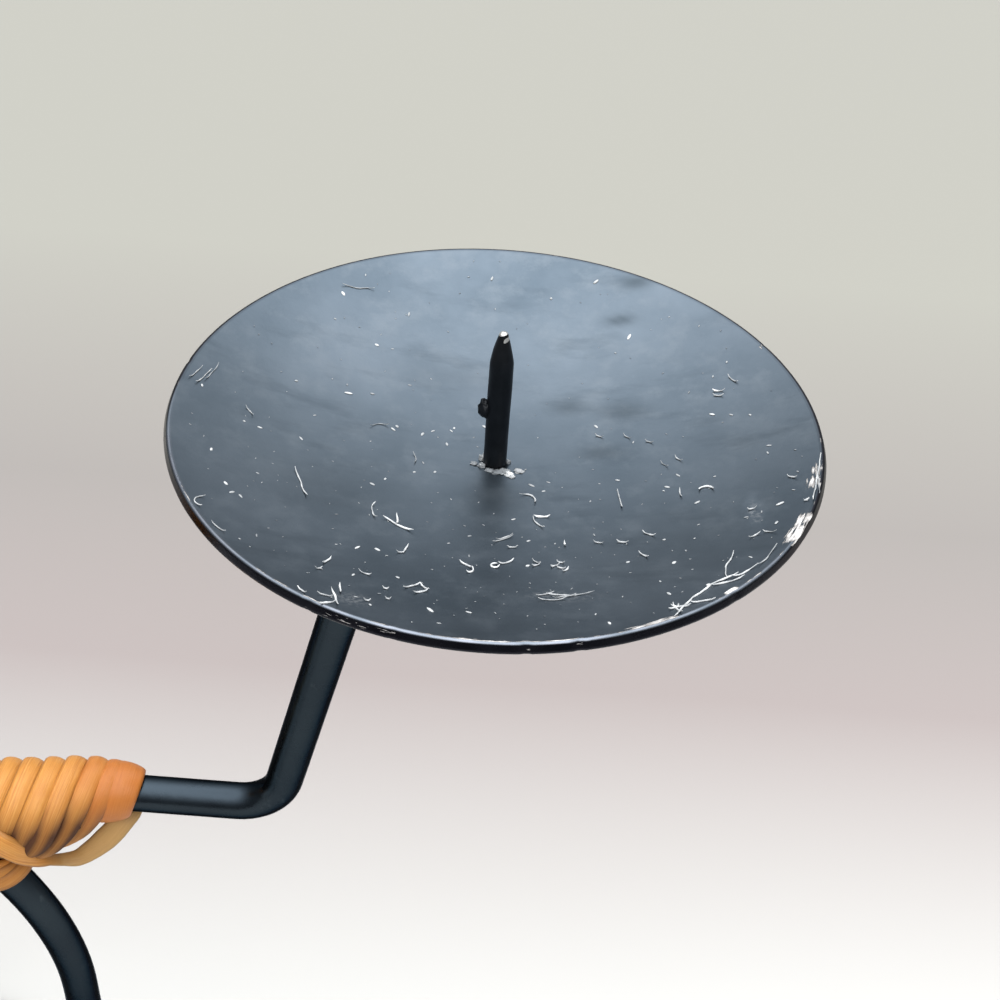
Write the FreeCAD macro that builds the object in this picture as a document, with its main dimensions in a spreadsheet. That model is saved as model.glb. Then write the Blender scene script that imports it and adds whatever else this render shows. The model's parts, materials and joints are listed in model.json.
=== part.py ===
"""Figurine candle holder: an iron-rod figure with raised arms, a candle plate on each hand and cane bindings.

Millimetres, +Z up. The origin is on the floor under the middle of the figure, which faces -Y.
"""
import FreeCAD, Part
import math
import os

from FreeCAD import Placement, Rotation, Vector
import Sketcher

doc = FreeCAD.newDocument("figurine_candle_holder")

# Driving dimensions: one plain number each, in millimetres, degrees or turns
SIZES = (
    ("rod_diameter", 6.35, "round bar of the arms, arches, neck and base ring"),
    ("seat_gap", 0.05, "clearance between pieces that touch"),
    ("cane_gap", 0.15, "clearance between a strand and what it is wound on"),
    ("lash_gap", 0.45, "space between arm bar and arch where they cross"),
    ("arch_radius", 68.3, "middle line of both arches and of the base ring"),
    ("shoulder_climb", 49.9, "axis of the arm above the centre of the side arch"),
    ("foot_flat", 0.5, "depth of the flat worn under the base ring"),
    ("arm_height", 178.0, "axis of the level part of the arm bar"),
    ("elbow_reach", 106.5, "from the middle of the figure to the elbow's corner"),
    ("stem_lean", 13.7, "degrees that the forearm leans outwards"),
    ("bend_radius", 8.8, "middle line of the bends in the arm bar"),
    ("rod_overrun", 6.0, "length of the bar past the plate's middle"),
    ("plate_reach", 140.0, "from the middle of the figure to the plate's axis"),
    ("plate_rise", 86.9, "rim of the plate above the arm's axis"),
    ("plate_diameter", 90.0, "over the rim"),
    ("plate_sheet", 1.6, "thickness of the plate"),
    ("dish_depth", 8.7, "rim down to the middle of the dish"),
    ("spike_diameter", 3.25, "straight part of the spike"),
    ("tenon_diameter", 2.4, "foot of the spike, through the bead and the plate"),
    ("spike_rise", 21.8, "spike's height above the dish"),
    ("spike_taper", 4.8, "length of the pointed part"),
    ("spike_tip", 1.3, "diameter of the blunt tip"),
    ("bead_width", 0.4, "weld bead round a spike's foot"),
    ("weld_width", 2.2, "weld beads between rods"),
    ("neck_length", 13.0, "from the arch up to the head"),
    ("neck_depth", 20.0, "how far the neck rod goes into the head"),
    ("head_diameter", 46.0, "over the cane"),
    ("cane_diameter", 2.0, "cane strand of head, sleeves and lashes"),
    ("cane_pitch", 2.8, "from turn to turn of that cane"),
    ("binding_diameter", 1.6, "thin strand of the short bindings"),
    ("binding_pitch", 2.2, "from turn to turn of that strand"),
    ("sleeve_length", 21.4, "from the sleeve's inner end to its wrist"),
    ("sleeve_gap", 1.65, "space between the shoulder lash and the sleeve"),
    ("sleeve_swell", 2.9, "growth of the sleeve's radius from wrist to shoulder"),
    ("sleeve_sag", 1.5, "shift of the sleeve's middle forwards and down"),
    ("sag_angle", 50.0, "degrees from straight down towards the front"),
    ("core_lead", 5.0, "bare turns at the wrist, past the sleeve's core"),
    ("lash_inner", 7.0, "length of the shoulder lash inwards of the crossing"),
    ("lash_outer", 10.0, "length of the shoulder lash outwards of the crossing"),
    ("binding_gap", 2.25, "space between the shoulder lash and the rib binding"),
    ("rib_binding_turns", 3, "turns of the rib binding"),
    ("neck_turns", 4, "turns of the neck binding"),
    ("head_turns", 20, "turns of cane on the head"),
    ("head_crown_angle", 10.0, "degrees from the head's top to its first turn"),
    ("head_neck_angle", 14.0, "degrees from the head's bottom to its last turn"),
    ("strand_drop", 8.0, "how strongly the loose strand heads down from the sleeve"),
    ("strand_sweep", 6.0, "how strongly it heads inwards to the rib binding"),
)

# Places that follow from the driving dimensions
PLACES = (
    ("rod_radius", "sizes.rod_diameter / 2"),
    ("arm_offset", "sizes.rod_diameter + sizes.lash_gap"),
    ("arch_spring", "sizes.arm_height - sizes.shoulder_climb"),
    ("ring_height", "rod_radius - sizes.foot_flat"),
    ("foot_start", "ring_height + rod_radius / 2"),
    ("cross_spring", "arch_spring + sizes.rod_diameter + sizes.seat_gap"),
    ("apex_height", "arch_spring + sizes.arch_radius"),
    ("cross_apex", "cross_spring + sizes.arch_radius"),
    ("rim_height", "sizes.arm_height + sizes.plate_rise"),
    ("dish_floor", "rim_height - sizes.dish_depth"),
    ("run_height", "dish_floor - sizes.plate_sheet - sizes.seat_gap - rod_radius"),
    ("rim_reach", "(sizes.plate_diameter - sizes.plate_sheet) / 2"),
    ("bowl_radius", "(rim_reach ^ 2 + sizes.dish_depth ^ 2) / (2 * sizes.dish_depth)"),
    ("bowl_centre", "bowl_radius - sizes.dish_depth - sizes.plate_sheet / 2"),
    ("spike_hole", "sizes.tenon_diameter / 2 + sizes.seat_gap"),
    ("bead_foot", "dish_floor + sizes.seat_gap"),
    ("shank_foot", "bead_foot + sizes.bead_width + sizes.seat_gap"),
    ("shank_top", "dish_floor + sizes.spike_rise - sizes.spike_taper"),
    ("neck_foot", "cross_apex + rod_radius + sizes.seat_gap"),
    ("head_centre", "neck_foot + sizes.neck_length + sizes.head_diameter / 2"),
    ("head_core_radius", "sizes.head_diameter / 2 - sizes.cane_diameter - sizes.cane_gap"),
    ("neck_top", "head_centre - sizes.head_diameter / 2 + sizes.neck_depth"),
    ("crossing_reach", "sqrt(sizes.arch_radius ^ 2 - sizes.shoulder_climb ^ 2)"),
    ("crossing_angle", "acos(sizes.shoulder_climb / sizes.arch_radius) / 1deg"),
    ("lash_tilt", "crossing_angle / 2"),
    ("lash_end", "crossing_reach + sizes.lash_outer / cos(lash_tilt * 1deg) + sizes.cane_diameter"),
    ("sleeve_start", "lash_end + sizes.sleeve_gap"),
    ("sleeve_wrist", "sleeve_start + sizes.sleeve_length"),
    ("lash_rib_sine", "sin(lash_tilt * 1deg) + sizes.lash_outer / sizes.arch_radius"),
    ("lash_rib_angle", "lash_tilt + asin(lash_rib_sine) / 1deg"),
    ("binding_half", "(sizes.binding_diameter + sizes.binding_pitch * sizes.rib_binding_turns) / 2"),
    ("binding_drop", "sizes.cane_diameter / 2 + sizes.binding_gap + binding_half"),
    ("binding_middle", "lash_rib_angle + binding_drop / sizes.arch_radius * 180 / pi"),
)

sizes = doc.addObject("Spreadsheet::Sheet", "sizes")
for row, (alias, number, meaning) in enumerate(SIZES, 1):
    sizes.set(f"A{row}", meaning)
    sizes.set(f"B{row}", str(number))
    sizes.setAlias(f"B{row}", alias)

places = doc.addObject("Spreadsheet::Sheet", "places")
for row, (alias, formula) in enumerate(PLACES, 1):
    places.set(f"A{row}", alias.replace("_", " "))
    places.set(f"B{row}", f"={formula}")
    places.setAlias(f"B{row}", alias)
doc.recompute()


def size(alias):
    """A driving dimension as a number."""
    return float(sizes.get(alias))


def place(alias):
    """A derived place as a number."""
    return float(places.get(alias))


# Nodes of the assembly, in the order in which they are written
nodes = []


def node(piece, label):
    """Name a finished piece and add it to the assembly."""
    piece.Label = label
    nodes.append(piece)
    return piece


def bound(kind, name, **formulas):
    """A document object whose properties follow the sheets; x, y and z are its position."""
    piece = doc.addObject(kind, name)
    for key, formula in formulas.items():
        path = f".Placement.Base.{key}" if key in ("x", "y", "z") else key
        piece.setExpression(path, str(formula))
    return piece


def turned(piece, axis, degrees):
    """Turn a bound object about its own position."""
    piece.Placement = Placement(piece.Placement.Base, Rotation(axis, degrees))
    return piece


def cut(name, base, *tools):
    """Base with each tool taken away in turn."""
    for count, tool in enumerate(tools):
        result = doc.addObject("Part::Cut", f"{name}_{count}")
        result.Base = base
        result.Tool = tool
        base = result
    return base


def origin_plane(body, role):
    """One of a body's own base planes."""
    return next(item for item in body.Origin.OriginFeatures if item.Role == role)


def sketch_on(body, role, name):
    """An empty sketch on one of a body's own base planes."""
    sketch = body.newObject("Sketcher::SketchObject", name)
    sketch.AttachmentSupport = [(origin_plane(body, role), "")]
    sketch.MapMode = "FlatFace"
    return sketch


def bind(sketch, formula, *constraint):
    """Add a dimension to a sketch and tie it to a formula on the sheets."""
    index = sketch.addConstraint(Sketcher.Constraint(*constraint))
    sketch.setExpression(f"Constraints[{index}]", formula)


def flat(x, y):
    """A point in a sketch."""
    return Vector(x, y, 0)


def arc_geometry(centre, radius, start, end):
    """A sketch arc between two angles in radians."""
    circle = Part.Circle(flat(*centre), Vector(0, 0, 1), radius)
    return Part.ArcOfCircle(circle, start, end)


def round_profile(body, role, name, x_formula, y_formula, offset_formula):
    """The bar's round section on a base plane, away from the plane by an offset."""
    sketch = sketch_on(body, role, name)
    sketch.setExpression(".AttachmentOffset.Base.z", offset_formula)
    sketch.addGeometry(Part.Circle(flat(1, 1), Vector(0, 0, 1), place("rod_radius")))
    bind(sketch, x_formula, "DistanceX", -1, 1, 0, 3, 1.0)
    bind(sketch, y_formula, "DistanceY", -1, 1, 0, 3, 1.0)
    bind(sketch, "sizes.rod_diameter", "Diameter", 0, size("rod_diameter"))
    return sketch


def bar_along(body, profile, path, edge_count):
    """Sweep the bar's section along the edges of a path sketch."""
    pipe = body.newObject("PartDesign::AdditivePipe", "bar")
    pipe.Profile = profile
    pipe.Spine = (path, [f"Edge{number}" for number in range(1, edge_count + 1)])
    return pipe


def make_base_ring():
    """The ring on the floor, with a narrow flat under it."""
    ring = bound("Part::Torus", "ring", Radius1="sizes.arch_radius", Radius2="places.rod_radius",
                 z="places.ring_height")
    reach = "sizes.arch_radius + sizes.rod_diameter"
    below = bound("Part::Box", "below_floor", Length=f"2 * ({reach})", Width=f"2 * ({reach})",
                  Height="sizes.rod_diameter", x=f"-({reach})", y=f"-({reach})", z="-sizes.rod_diameter")
    node(cut("base_ring", ring, below), "base_ring")


def make_arch(label, spring_alias, spring_value, turn):
    """An arch with straight legs whose feet are hollowed to sit on the base ring."""
    body = doc.addObject("PartDesign::Body", label)
    radius = size("arch_radius")
    foot = place("foot_start")

    path = sketch_on(body, "XZ_Plane", "arch_line")
    path.addGeometry(Part.LineSegment(flat(radius, foot), flat(radius, spring_value)))
    path.addGeometry(arc_geometry((0, spring_value), radius, 0, math.pi))
    path.addGeometry(Part.LineSegment(flat(-radius, spring_value), flat(-radius, foot)))
    path.addConstraint(Sketcher.Constraint("Vertical", 0))
    path.addConstraint(Sketcher.Constraint("Vertical", 2))
    path.addConstraint(Sketcher.Constraint("Tangent", 0, 2, 1, 1))
    path.addConstraint(Sketcher.Constraint("Tangent", 1, 2, 2, 1))
    path.addConstraint(Sketcher.Constraint("PointOnObject", 1, 3, -2))
    bind(path, "sizes.arch_radius", "Radius", 1, radius)
    bind(path, spring_alias, "DistanceY", -1, 1, 1, 3, spring_value)
    bind(path, "places.foot_start", "DistanceY", -1, 1, 0, 1, foot)
    bind(path, "places.foot_start", "DistanceY", -1, 1, 2, 2, foot)

    profile = round_profile(body, "XY_Plane", "section", "sizes.arch_radius", "0", "places.foot_start")
    bar_along(body, profile, path, 3)

    seat = sketch_on(body, "XZ_Plane", "ring_seat")
    seat_radius = place("rod_radius") + size("seat_gap")
    seat.addGeometry(Part.Circle(flat(radius, place("ring_height")), Vector(0, 0, 1), seat_radius))
    bind(seat, "sizes.arch_radius", "DistanceX", -1, 1, 0, 3, radius)
    bind(seat, "places.ring_height", "DistanceY", -1, 1, 0, 3, place("ring_height"))
    bind(seat, "places.rod_radius + sizes.seat_gap", "Radius", 0, seat_radius)
    groove = body.newObject("PartDesign::Groove", "foot_hollow")
    groove.Profile = seat
    groove.ReferenceAxis = (seat, ["V_Axis"])
    groove.Angle = 360.0
    body.Tip = groove
    body.Placement = Placement(Vector(0, 0, 0), Rotation(Vector(0, 0, 1), turn))
    node(body, label)


def make_arm_bar():
    """Half of the bar is swept from the middle to the plate, then mirrored."""
    body = doc.addObject("PartDesign::Body", "arm_bar")
    lean = math.radians(size("stem_lean"))
    bend = size("bend_radius")
    arm, run = size("arm_height"), place("run_height")
    elbow = size("elbow_reach")
    top_corner = elbow + (run - arm) * math.tan(lean)
    turn = math.pi / 2 - lean
    setback = bend * math.tan(turn / 2)
    stem = Vector(math.sin(lean), math.cos(lean), 0)
    elbow_end = flat(elbow, arm) + stem * setback
    stem_end = flat(top_corner, run) - stem * setback
    tip = flat(size("plate_reach") + size("rod_overrun"), run)

    path = sketch_on(body, "XZ_Plane", "arm_line")
    path.addGeometry(Part.LineSegment(flat(0, arm), flat(elbow - setback, arm)))
    path.addGeometry(arc_geometry((elbow - setback, arm + bend), bend, -math.pi / 2, turn - math.pi / 2))
    path.addGeometry(Part.LineSegment(elbow_end, stem_end))
    path.addGeometry(arc_geometry((top_corner + setback, run - bend), bend, math.pi / 2, math.pi / 2 + turn))
    path.addGeometry(Part.LineSegment(flat(top_corner + setback, run), tip))
    path.addGeometry(Part.Point(flat(elbow, arm)), True)
    path.addConstraint(Sketcher.Constraint("Horizontal", 0))
    path.addConstraint(Sketcher.Constraint("Horizontal", 4))
    path.addConstraint(Sketcher.Constraint("PointOnObject", 0, 1, -2))
    path.addConstraint(Sketcher.Constraint("Tangent", 0, 2, 1, 1))
    path.addConstraint(Sketcher.Constraint("Tangent", 1, 2, 2, 1))
    path.addConstraint(Sketcher.Constraint("Tangent", 2, 2, 3, 2))
    path.addConstraint(Sketcher.Constraint("Tangent", 3, 1, 4, 1))
    path.addConstraint(Sketcher.Constraint("PointOnObject", 5, 1, 0))
    path.addConstraint(Sketcher.Constraint("PointOnObject", 5, 1, 2))
    bind(path, "sizes.elbow_reach", "DistanceX", -1, 1, 5, 1, elbow)
    bind(path, "sizes.arm_height", "DistanceY", -1, 1, 0, 1, arm)
    bind(path, "(90 - sizes.stem_lean) * 1deg", "Angle", 2, turn)
    bind(path, "sizes.bend_radius", "Radius", 1, bend)
    bind(path, "sizes.bend_radius", "Radius", 3, bend)
    bind(path, "places.run_height", "DistanceY", -1, 1, 4, 1, run)
    bind(path, "sizes.plate_reach + sizes.rod_overrun", "DistanceX", -1, 1, 4, 2, tip.x)

    profile = round_profile(body, "YZ_Plane", "section", "0", "sizes.arm_height", "0")
    pipe = bar_along(body, profile, path, 5)
    mirrored = body.newObject("PartDesign::Mirrored", "both_arms")
    mirrored.Originals = [pipe]
    mirrored.MirrorPlane = (origin_plane(body, "YZ_Plane"), [""])
    body.Tip = mirrored
    body.setExpression(".Placement.Base.y", "places.arm_offset")
    node(body, "arm_bar")


def make_plate(side, sign):
    """A dished plate turned from its section: two concentric arcs and a fully rounded rim."""
    body = doc.addObject("PartDesign::Body", f"{side}_plate")
    sheet = size("plate_sheet")
    middle, bowl, reach = place("bowl_centre"), place("bowl_radius"), place("rim_reach")
    hole = place("spike_hole")
    upper, lower = bowl - sheet / 2, bowl + sheet / 2
    rim_angle = math.asin(reach / bowl) - math.pi / 2
    upper_start = math.asin(hole / upper) - math.pi / 2
    lower_start = math.asin(hole / lower) - math.pi / 2
    upper_hole = flat(hole, middle + upper * math.sin(upper_start))
    lower_hole = flat(hole, middle + lower * math.sin(lower_start))

    section = sketch_on(body, "XZ_Plane", "dish_section")
    section.addGeometry(arc_geometry((0, middle), upper, upper_start, rim_angle))
    section.addGeometry(arc_geometry((0, middle), lower, lower_start, rim_angle))
    section.addGeometry(arc_geometry((reach, -sheet / 2), sheet / 2, rim_angle, rim_angle + math.pi))
    section.addGeometry(Part.LineSegment(upper_hole, lower_hole))
    section.addConstraint(Sketcher.Constraint("PointOnObject", 0, 3, -2))
    section.addConstraint(Sketcher.Constraint("Coincident", 0, 3, 1, 3))
    section.addConstraint(Sketcher.Constraint("Tangent", 0, 2, 2, 2))
    section.addConstraint(Sketcher.Constraint("Tangent", 1, 2, 2, 1))
    section.addConstraint(Sketcher.Constraint("Coincident", 0, 1, 3, 1))
    section.addConstraint(Sketcher.Constraint("Coincident", 1, 1, 3, 2))
    section.addConstraint(Sketcher.Constraint("Vertical", 3))
    bind(section, "places.bowl_centre", "DistanceY", -1, 1, 0, 3, middle)
    bind(section, "places.bowl_radius - sizes.plate_sheet / 2", "Radius", 0, upper)
    bind(section, "places.bowl_radius + sizes.plate_sheet / 2", "Radius", 1, lower)
    bind(section, "places.rim_reach", "DistanceX", -1, 1, 2, 3, reach)
    bind(section, "places.spike_hole", "DistanceX", -1, 1, 3, 1, hole)
    dish = body.newObject("PartDesign::Revolution", "dish")
    dish.Profile = section
    dish.ReferenceAxis = (section, ["V_Axis"])
    dish.Angle = 360.0
    body.Tip = dish
    body.setExpression(".Placement.Base.x", f"{sign} * sizes.plate_reach")
    body.setExpression(".Placement.Base.y", "places.arm_offset")
    body.setExpression(".Placement.Base.z", "places.rim_height")
    node(body, f"{side}_plate")


def make_spike(side, sign):
    """A straight spike with a blunt point and a thin foot through the plate, and the bead round that foot."""
    middle = {"x": f"{sign} * sizes.plate_reach", "y": "places.arm_offset"}
    tenon = bound("Part::Cylinder", f"{side}_tenon", Radius="sizes.tenon_diameter / 2",
                  Height="places.shank_foot - places.dish_floor + sizes.plate_sheet",
                  z="places.dish_floor - sizes.plate_sheet", **middle)
    shank = bound("Part::Cylinder", f"{side}_shank", Radius="sizes.spike_diameter / 2",
                  Height="places.shank_top - places.shank_foot", z="places.shank_foot", **middle)
    point = bound("Part::Cone", f"{side}_point", Radius1="sizes.spike_diameter / 2",
                  Radius2="sizes.spike_tip / 2", Height="sizes.spike_taper", z="places.shank_top", **middle)
    spike = doc.addObject("Part::MultiFuse", f"{side}_spike")
    spike.Shapes = [tenon, shank, point]
    node(spike, f"{side}_spike")

    bead = bound("Part::Cone", f"{side}_bead", Radius1="sizes.spike_diameter / 2 + sizes.bead_width",
                 Radius2="sizes.spike_diameter / 2 + sizes.bead_width / 3", Height="sizes.bead_width",
                 z="places.bead_foot", **middle)
    bore = bound("Part::Cylinder", f"{side}_bead_bore", Radius="places.spike_hole",
                 Height="sizes.spike_rise", z="places.dish_floor - sizes.plate_sheet", **middle)
    node(cut(f"{side}_spike_weld", bead, bore), f"{side}_spike_weld")


def make_plate_weld(side, sign):
    """Weld fillets on both sides of the bar, between it and the plate's underside."""
    middle = {"x": f"{sign} * sizes.plate_reach", "y": "places.arm_offset"}
    lump = bound("Part::Cylinder", f"{side}_weld_lump", Radius="places.rod_radius + sizes.weld_width",
                 Height="sizes.rod_diameter", z="places.run_height", **middle)
    bar = bound("Part::Cylinder", f"{side}_bar_space", Radius="places.rod_radius + sizes.seat_gap",
                Height="2 * sizes.rod_overrun + 2 * sizes.rod_diameter",
                x=f"{sign} * sizes.plate_reach - sizes.rod_overrun - sizes.rod_diameter",
                y="places.arm_offset", z="places.run_height")
    turned(bar, Vector(0, 1, 0), 90)
    dish = bound("Part::Sphere", f"{side}_dish_space", z="places.rim_height + places.bowl_centre",
                 Radius="places.bowl_radius + sizes.plate_sheet / 2 + sizes.seat_gap", **middle)
    node(cut(f"{side}_plate_weld", lump, bar, dish), f"{side}_plate_weld")


def rod_space(name, x, y, z, axis, degrees):
    """The room that a straight piece of bar takes up, with its clearance."""
    length = "4 * sizes.rod_diameter"
    space = bound("Part::Cylinder", name, Radius="places.rod_radius + sizes.seat_gap", Height=length,
                  x=x, y=y, z=z)
    return turned(space, axis, degrees) if degrees else space


def arch_space(name, spring, axis, turn):
    """The room that an arch takes up, with its clearance."""
    space = bound("Part::Torus", name, Radius1="sizes.arch_radius",
                  Radius2="places.rod_radius + sizes.seat_gap", z=spring)
    return turned(space, axis, turn)


def make_frame_welds():
    """Weld beads at the top of the arches, under the neck and at the four feet."""
    across, along = Vector(1, 0, 0), Vector(0, 1, 0)
    lump = bound("Part::Cylinder", "apex_lump", Radius="places.rod_radius + sizes.weld_width / 2",
                 Height="sizes.rod_diameter", z="places.apex_height")
    side = arch_space("side_arch_space", "places.arch_spring", across, 90)
    cross = arch_space("cross_arch_space", "places.cross_spring", along, 90)
    node(cut("apex_weld", lump, side, cross), "apex_weld")

    collar = bound("Part::Cone", "neck_collar", Radius1="places.rod_radius + sizes.weld_width",
                   Radius2="places.rod_radius + sizes.weld_width / 4",
                   Height="sizes.weld_width + places.rod_radius", z="places.neck_foot - places.rod_radius")
    neck = rod_space("neck_space", "0", "0", "places.cross_apex - places.rod_radius", across, 0)
    cross = arch_space("neck_arch_space", "places.cross_spring", along, 90)
    node(cut("neck_weld", collar, neck, cross), "neck_weld")

    beads = []
    feet = ((1, 0), (0, 1), (-1, 0), (0, -1))
    for count, (east, north) in enumerate(feet):
        spot = {"x": f"{east} * sizes.arch_radius", "y": f"{north} * sizes.arch_radius"}
        bead = bound("Part::Cone", f"foot_bead_{count}", Radius1="places.rod_radius + sizes.weld_width",
                     Radius2="places.rod_radius + sizes.weld_width / 4",
                     Height="sizes.weld_width + places.rod_radius", z="places.ring_height", **spot)
        leg = rod_space(f"leg_space_{count}", spot["x"], spot["y"], "0", across, 0)
        ring = bound("Part::Torus", f"ring_space_{count}", Radius1="sizes.arch_radius",
                     Radius2="places.rod_radius + sizes.seat_gap", z="places.ring_height")
        beads.append(cut(f"foot_weld_{count}", bead, leg, ring))
    welds = doc.addObject("Part::Compound", "ring_welds")
    welds.Links = beads
    node(welds, "ring_welds")


def make_head():
    """The neck rod and the head's plain ball, bored for it."""
    neck = bound("Part::Cylinder", "neck_rod", Radius="places.rod_radius",
                 Height="places.neck_top - places.neck_foot", z="places.neck_foot")
    node(neck, "neck_rod")
    ball = bound("Part::Sphere", "head_ball", Radius="places.head_core_radius", z="places.head_centre")
    bore = bound("Part::Cylinder", "neck_bore", Radius="places.rod_radius + sizes.seat_gap",
                 Height="places.neck_top + sizes.seat_gap - places.neck_foot", z="places.neck_foot")
    node(cut("head_core", ball, bore), "head_core")


def make_sleeve_core():
    """The inner layers of cane on the arm: an oblique cone that swells forwards and down."""
    front = "sin(sizes.sag_angle * 1deg)"
    down = "cos(sizes.sag_angle * 1deg)"
    tilt_room = "sizes.sleeve_length / 2"
    stations = (("wrist", "sizes.core_lead", "places.sleeve_wrist - sizes.core_lead"),
                ("shoulder", f"(sizes.sleeve_length + {tilt_room})", f"places.sleeve_start - {tilt_room}"))
    rings = []
    for name, run, x in stations:
        share = f"{run} / sizes.sleeve_length"
        ring = bound("Part::Circle", f"core_{name}", x=x,
                     Radius=f"places.rod_radius + sizes.seat_gap + sizes.sleeve_swell * {share}",
                     y=f"places.arm_offset - {front} * sizes.sleeve_sag * {share}",
                     z=f"sizes.arm_height - {down} * sizes.sleeve_sag * {share}")
        rings.append(turned(ring, Vector(0, 1, 0), 90))
    cone = doc.addObject("Part::Loft", "core_cone")
    cone.Sections = rings
    cone.Solid = True
    cone.Ruled = True
    bore = bound("Part::Cylinder", "core_bore", Radius="places.rod_radius + sizes.seat_gap",
                 Height="places.sleeve_wrist", y="places.arm_offset", z="sizes.arm_height")
    turned(bore, Vector(0, 1, 0), 90)
    # The inner end is cut square to the turns that lie on it
    width = "places.sleeve_wrist"
    inner = bound("Part::Box", "core_inner_end", Length=width, Width=width, Height=width,
                  x=f"places.sleeve_start - {width} * cos(places.lash_tilt * 1deg)"
                    f" - {width} / 2 * sin(places.lash_tilt * 1deg)",
                  y=f"places.arm_offset - {width} / 2",
                  z=f"sizes.arm_height + {width} * sin(places.lash_tilt * 1deg)"
                    f" - {width} / 2 * cos(places.lash_tilt * 1deg)")
    turned(inner, Vector(0, 1, 0), place("lash_tilt"))
    core = node(cut("right_sleeve_core", cone, bore, inner), "right_sleeve_core")
    make_mirror(core, "left_sleeve_core")


def make_mirror(piece, label):
    """The same piece on the other side of the figure."""
    other = doc.addObject("Part::Mirroring", label)
    other.Source = piece
    other.Base = Vector(0, 0, 0)
    other.Normal = Vector(1, 0, 0)
    node(other, label)


# How the strands are drawn and measured
KNOTS_PER_TURN = 4
SAMPLES_PER_ARC = 6
SETTLING_ROUNDS = 20
NEARLY_STRAIGHT = 1e-4
NEARLY_PARALLEL = 1e-9


def arc_edge(start, corner, end):
    """An arc that leaves start towards the corner and arrives at end from it."""
    chord_middle = (start + end) * 0.5
    half_chord = (end - start).Length / 2
    height = (corner - chord_middle).Length
    bend = math.atan2(height, half_chord)
    if bend < NEARLY_STRAIGHT:
        return Part.LineSegment(start, end).toShape()
    top = chord_middle + (corner - chord_middle) * (math.tan(bend / 2) / math.tan(bend))
    return Part.Arc(start, top, end).toShape()


def biarc(start, leave, end, arrive):
    """Two tangent arcs from start to end with the given unit directions at both ends."""
    span = end - start
    along = span.dot(leave + arrive)
    spread = 2 * (1 - leave.dot(arrive))
    if spread < NEARLY_PARALLEL:
        reach = span.dot(span) / (2 * along)
    else:
        reach = (math.sqrt(along * along + spread * span.dot(span)) - along) / spread
    first, second = start + leave * reach, end - arrive * reach
    joint = (first + second) * 0.5
    return [arc_edge(start, first, joint), arc_edge(joint, second, end)]


def strand_edges(point_at, start, end):
    """Biarcs along a curve, point_at(turn), with a knot at every quarter turn."""
    count = max(1, round((end - start) * KNOTS_PER_TURN))
    knots = [start + (end - start) * index / count for index in range(count + 1)]
    nudge = 0.001 / KNOTS_PER_TURN
    points = [point_at(knot) for knot in knots]
    ways = [(point_at(knot + nudge) - point_at(knot - nudge)).normalize() for knot in knots]
    edges = []
    for index in range(count):
        edges += biarc(points[index], ways[index], points[index + 1], ways[index + 1])
    return edges, points[0], ways[0], points[-1], ways[-1]


def wound_strand(label, point_at, start, end, diameter):
    """One unbroken strand wound along point_at(turn), with straight ends; prints its least gap to itself."""
    edges, first, first_way, last, last_way = strand_edges(point_at, start, end)
    tail = first - first_way * diameter
    head = last + last_way * diameter
    edges = [Part.LineSegment(tail, first).toShape()] + edges + [Part.LineSegment(last, head).toShape()]
    wire = Part.Wire(edges)
    ring = Part.Wire([Part.Circle(tail, first_way, diameter / 2).toShape()])
    solid = wire.makePipeShell([ring], True, False)
    expected = wire.Length * math.pi * diameter ** 2 / 4
    gap = strand_gap(edges, diameter)
    print(f"{label}: {end - start:.2f} turns of {diameter:.2f} mm, {wire.Length:.0f} mm long, "
          f"least gap to itself {gap:.2f} mm, volume {solid.Volume / expected:.4f} of section by length")
    return solid


def strand_gap(edges, diameter):
    """Least clear distance between two stretches of a strand that aren't neighbours along it."""
    apart = 2.5 * diameter
    points, travelled, run = [], [], 0.0
    for edge in edges:
        for point in edge.discretize(SAMPLES_PER_ARC + 1)[:-1]:
            if points:
                run += (point - points[-1]).Length
            points.append(point)
            travelled.append(run)
    least = min((first - second).Length
                for index, first in enumerate(points)
                for other, second in enumerate(points[:index])
                if travelled[index] - travelled[other] > apart)
    return least - diameter


def free_form(label, shape):
    """A strand as a piece of the assembly."""
    piece = doc.addObject("Part::Feature", label)
    piece.Shape = shape
    piece.Placement = Placement()
    return node(piece, label)


def sleeve_section(x):
    """Middle and radius of the sleeve's core at a place along the arm."""
    share = (place("sleeve_wrist") - x) / size("sleeve_length")
    sag = math.radians(size("sag_angle"))
    shift = size("sleeve_sag") * share
    front, down = math.sin(sag) * shift, math.cos(sag) * shift
    middle = Vector(x, place("arm_offset") - front, size("arm_height") - down)
    return middle, place("rod_radius") + size("seat_gap") + size("sleeve_swell") * share


def sleeve_point(turn):
    """The sleeve's outer turns, from the wrist inwards, each leaning outwards at its top."""
    slope = math.tan(math.radians(place("lash_tilt")))
    half = size("cane_diameter") / 2
    angle = 2 * math.pi * turn
    nominal = place("sleeve_wrist") - half - size("cane_pitch") * turn
    x = nominal
    for _ in range(SETTLING_ROUNDS):
        middle, radius = sleeve_section(x)
        reach = radius + size("cane_gap") + half
        point = middle + Vector(0, -math.sin(angle), math.cos(angle)) * reach
        x = nominal + slope * (point.z - size("arm_height"))
    return point


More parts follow.
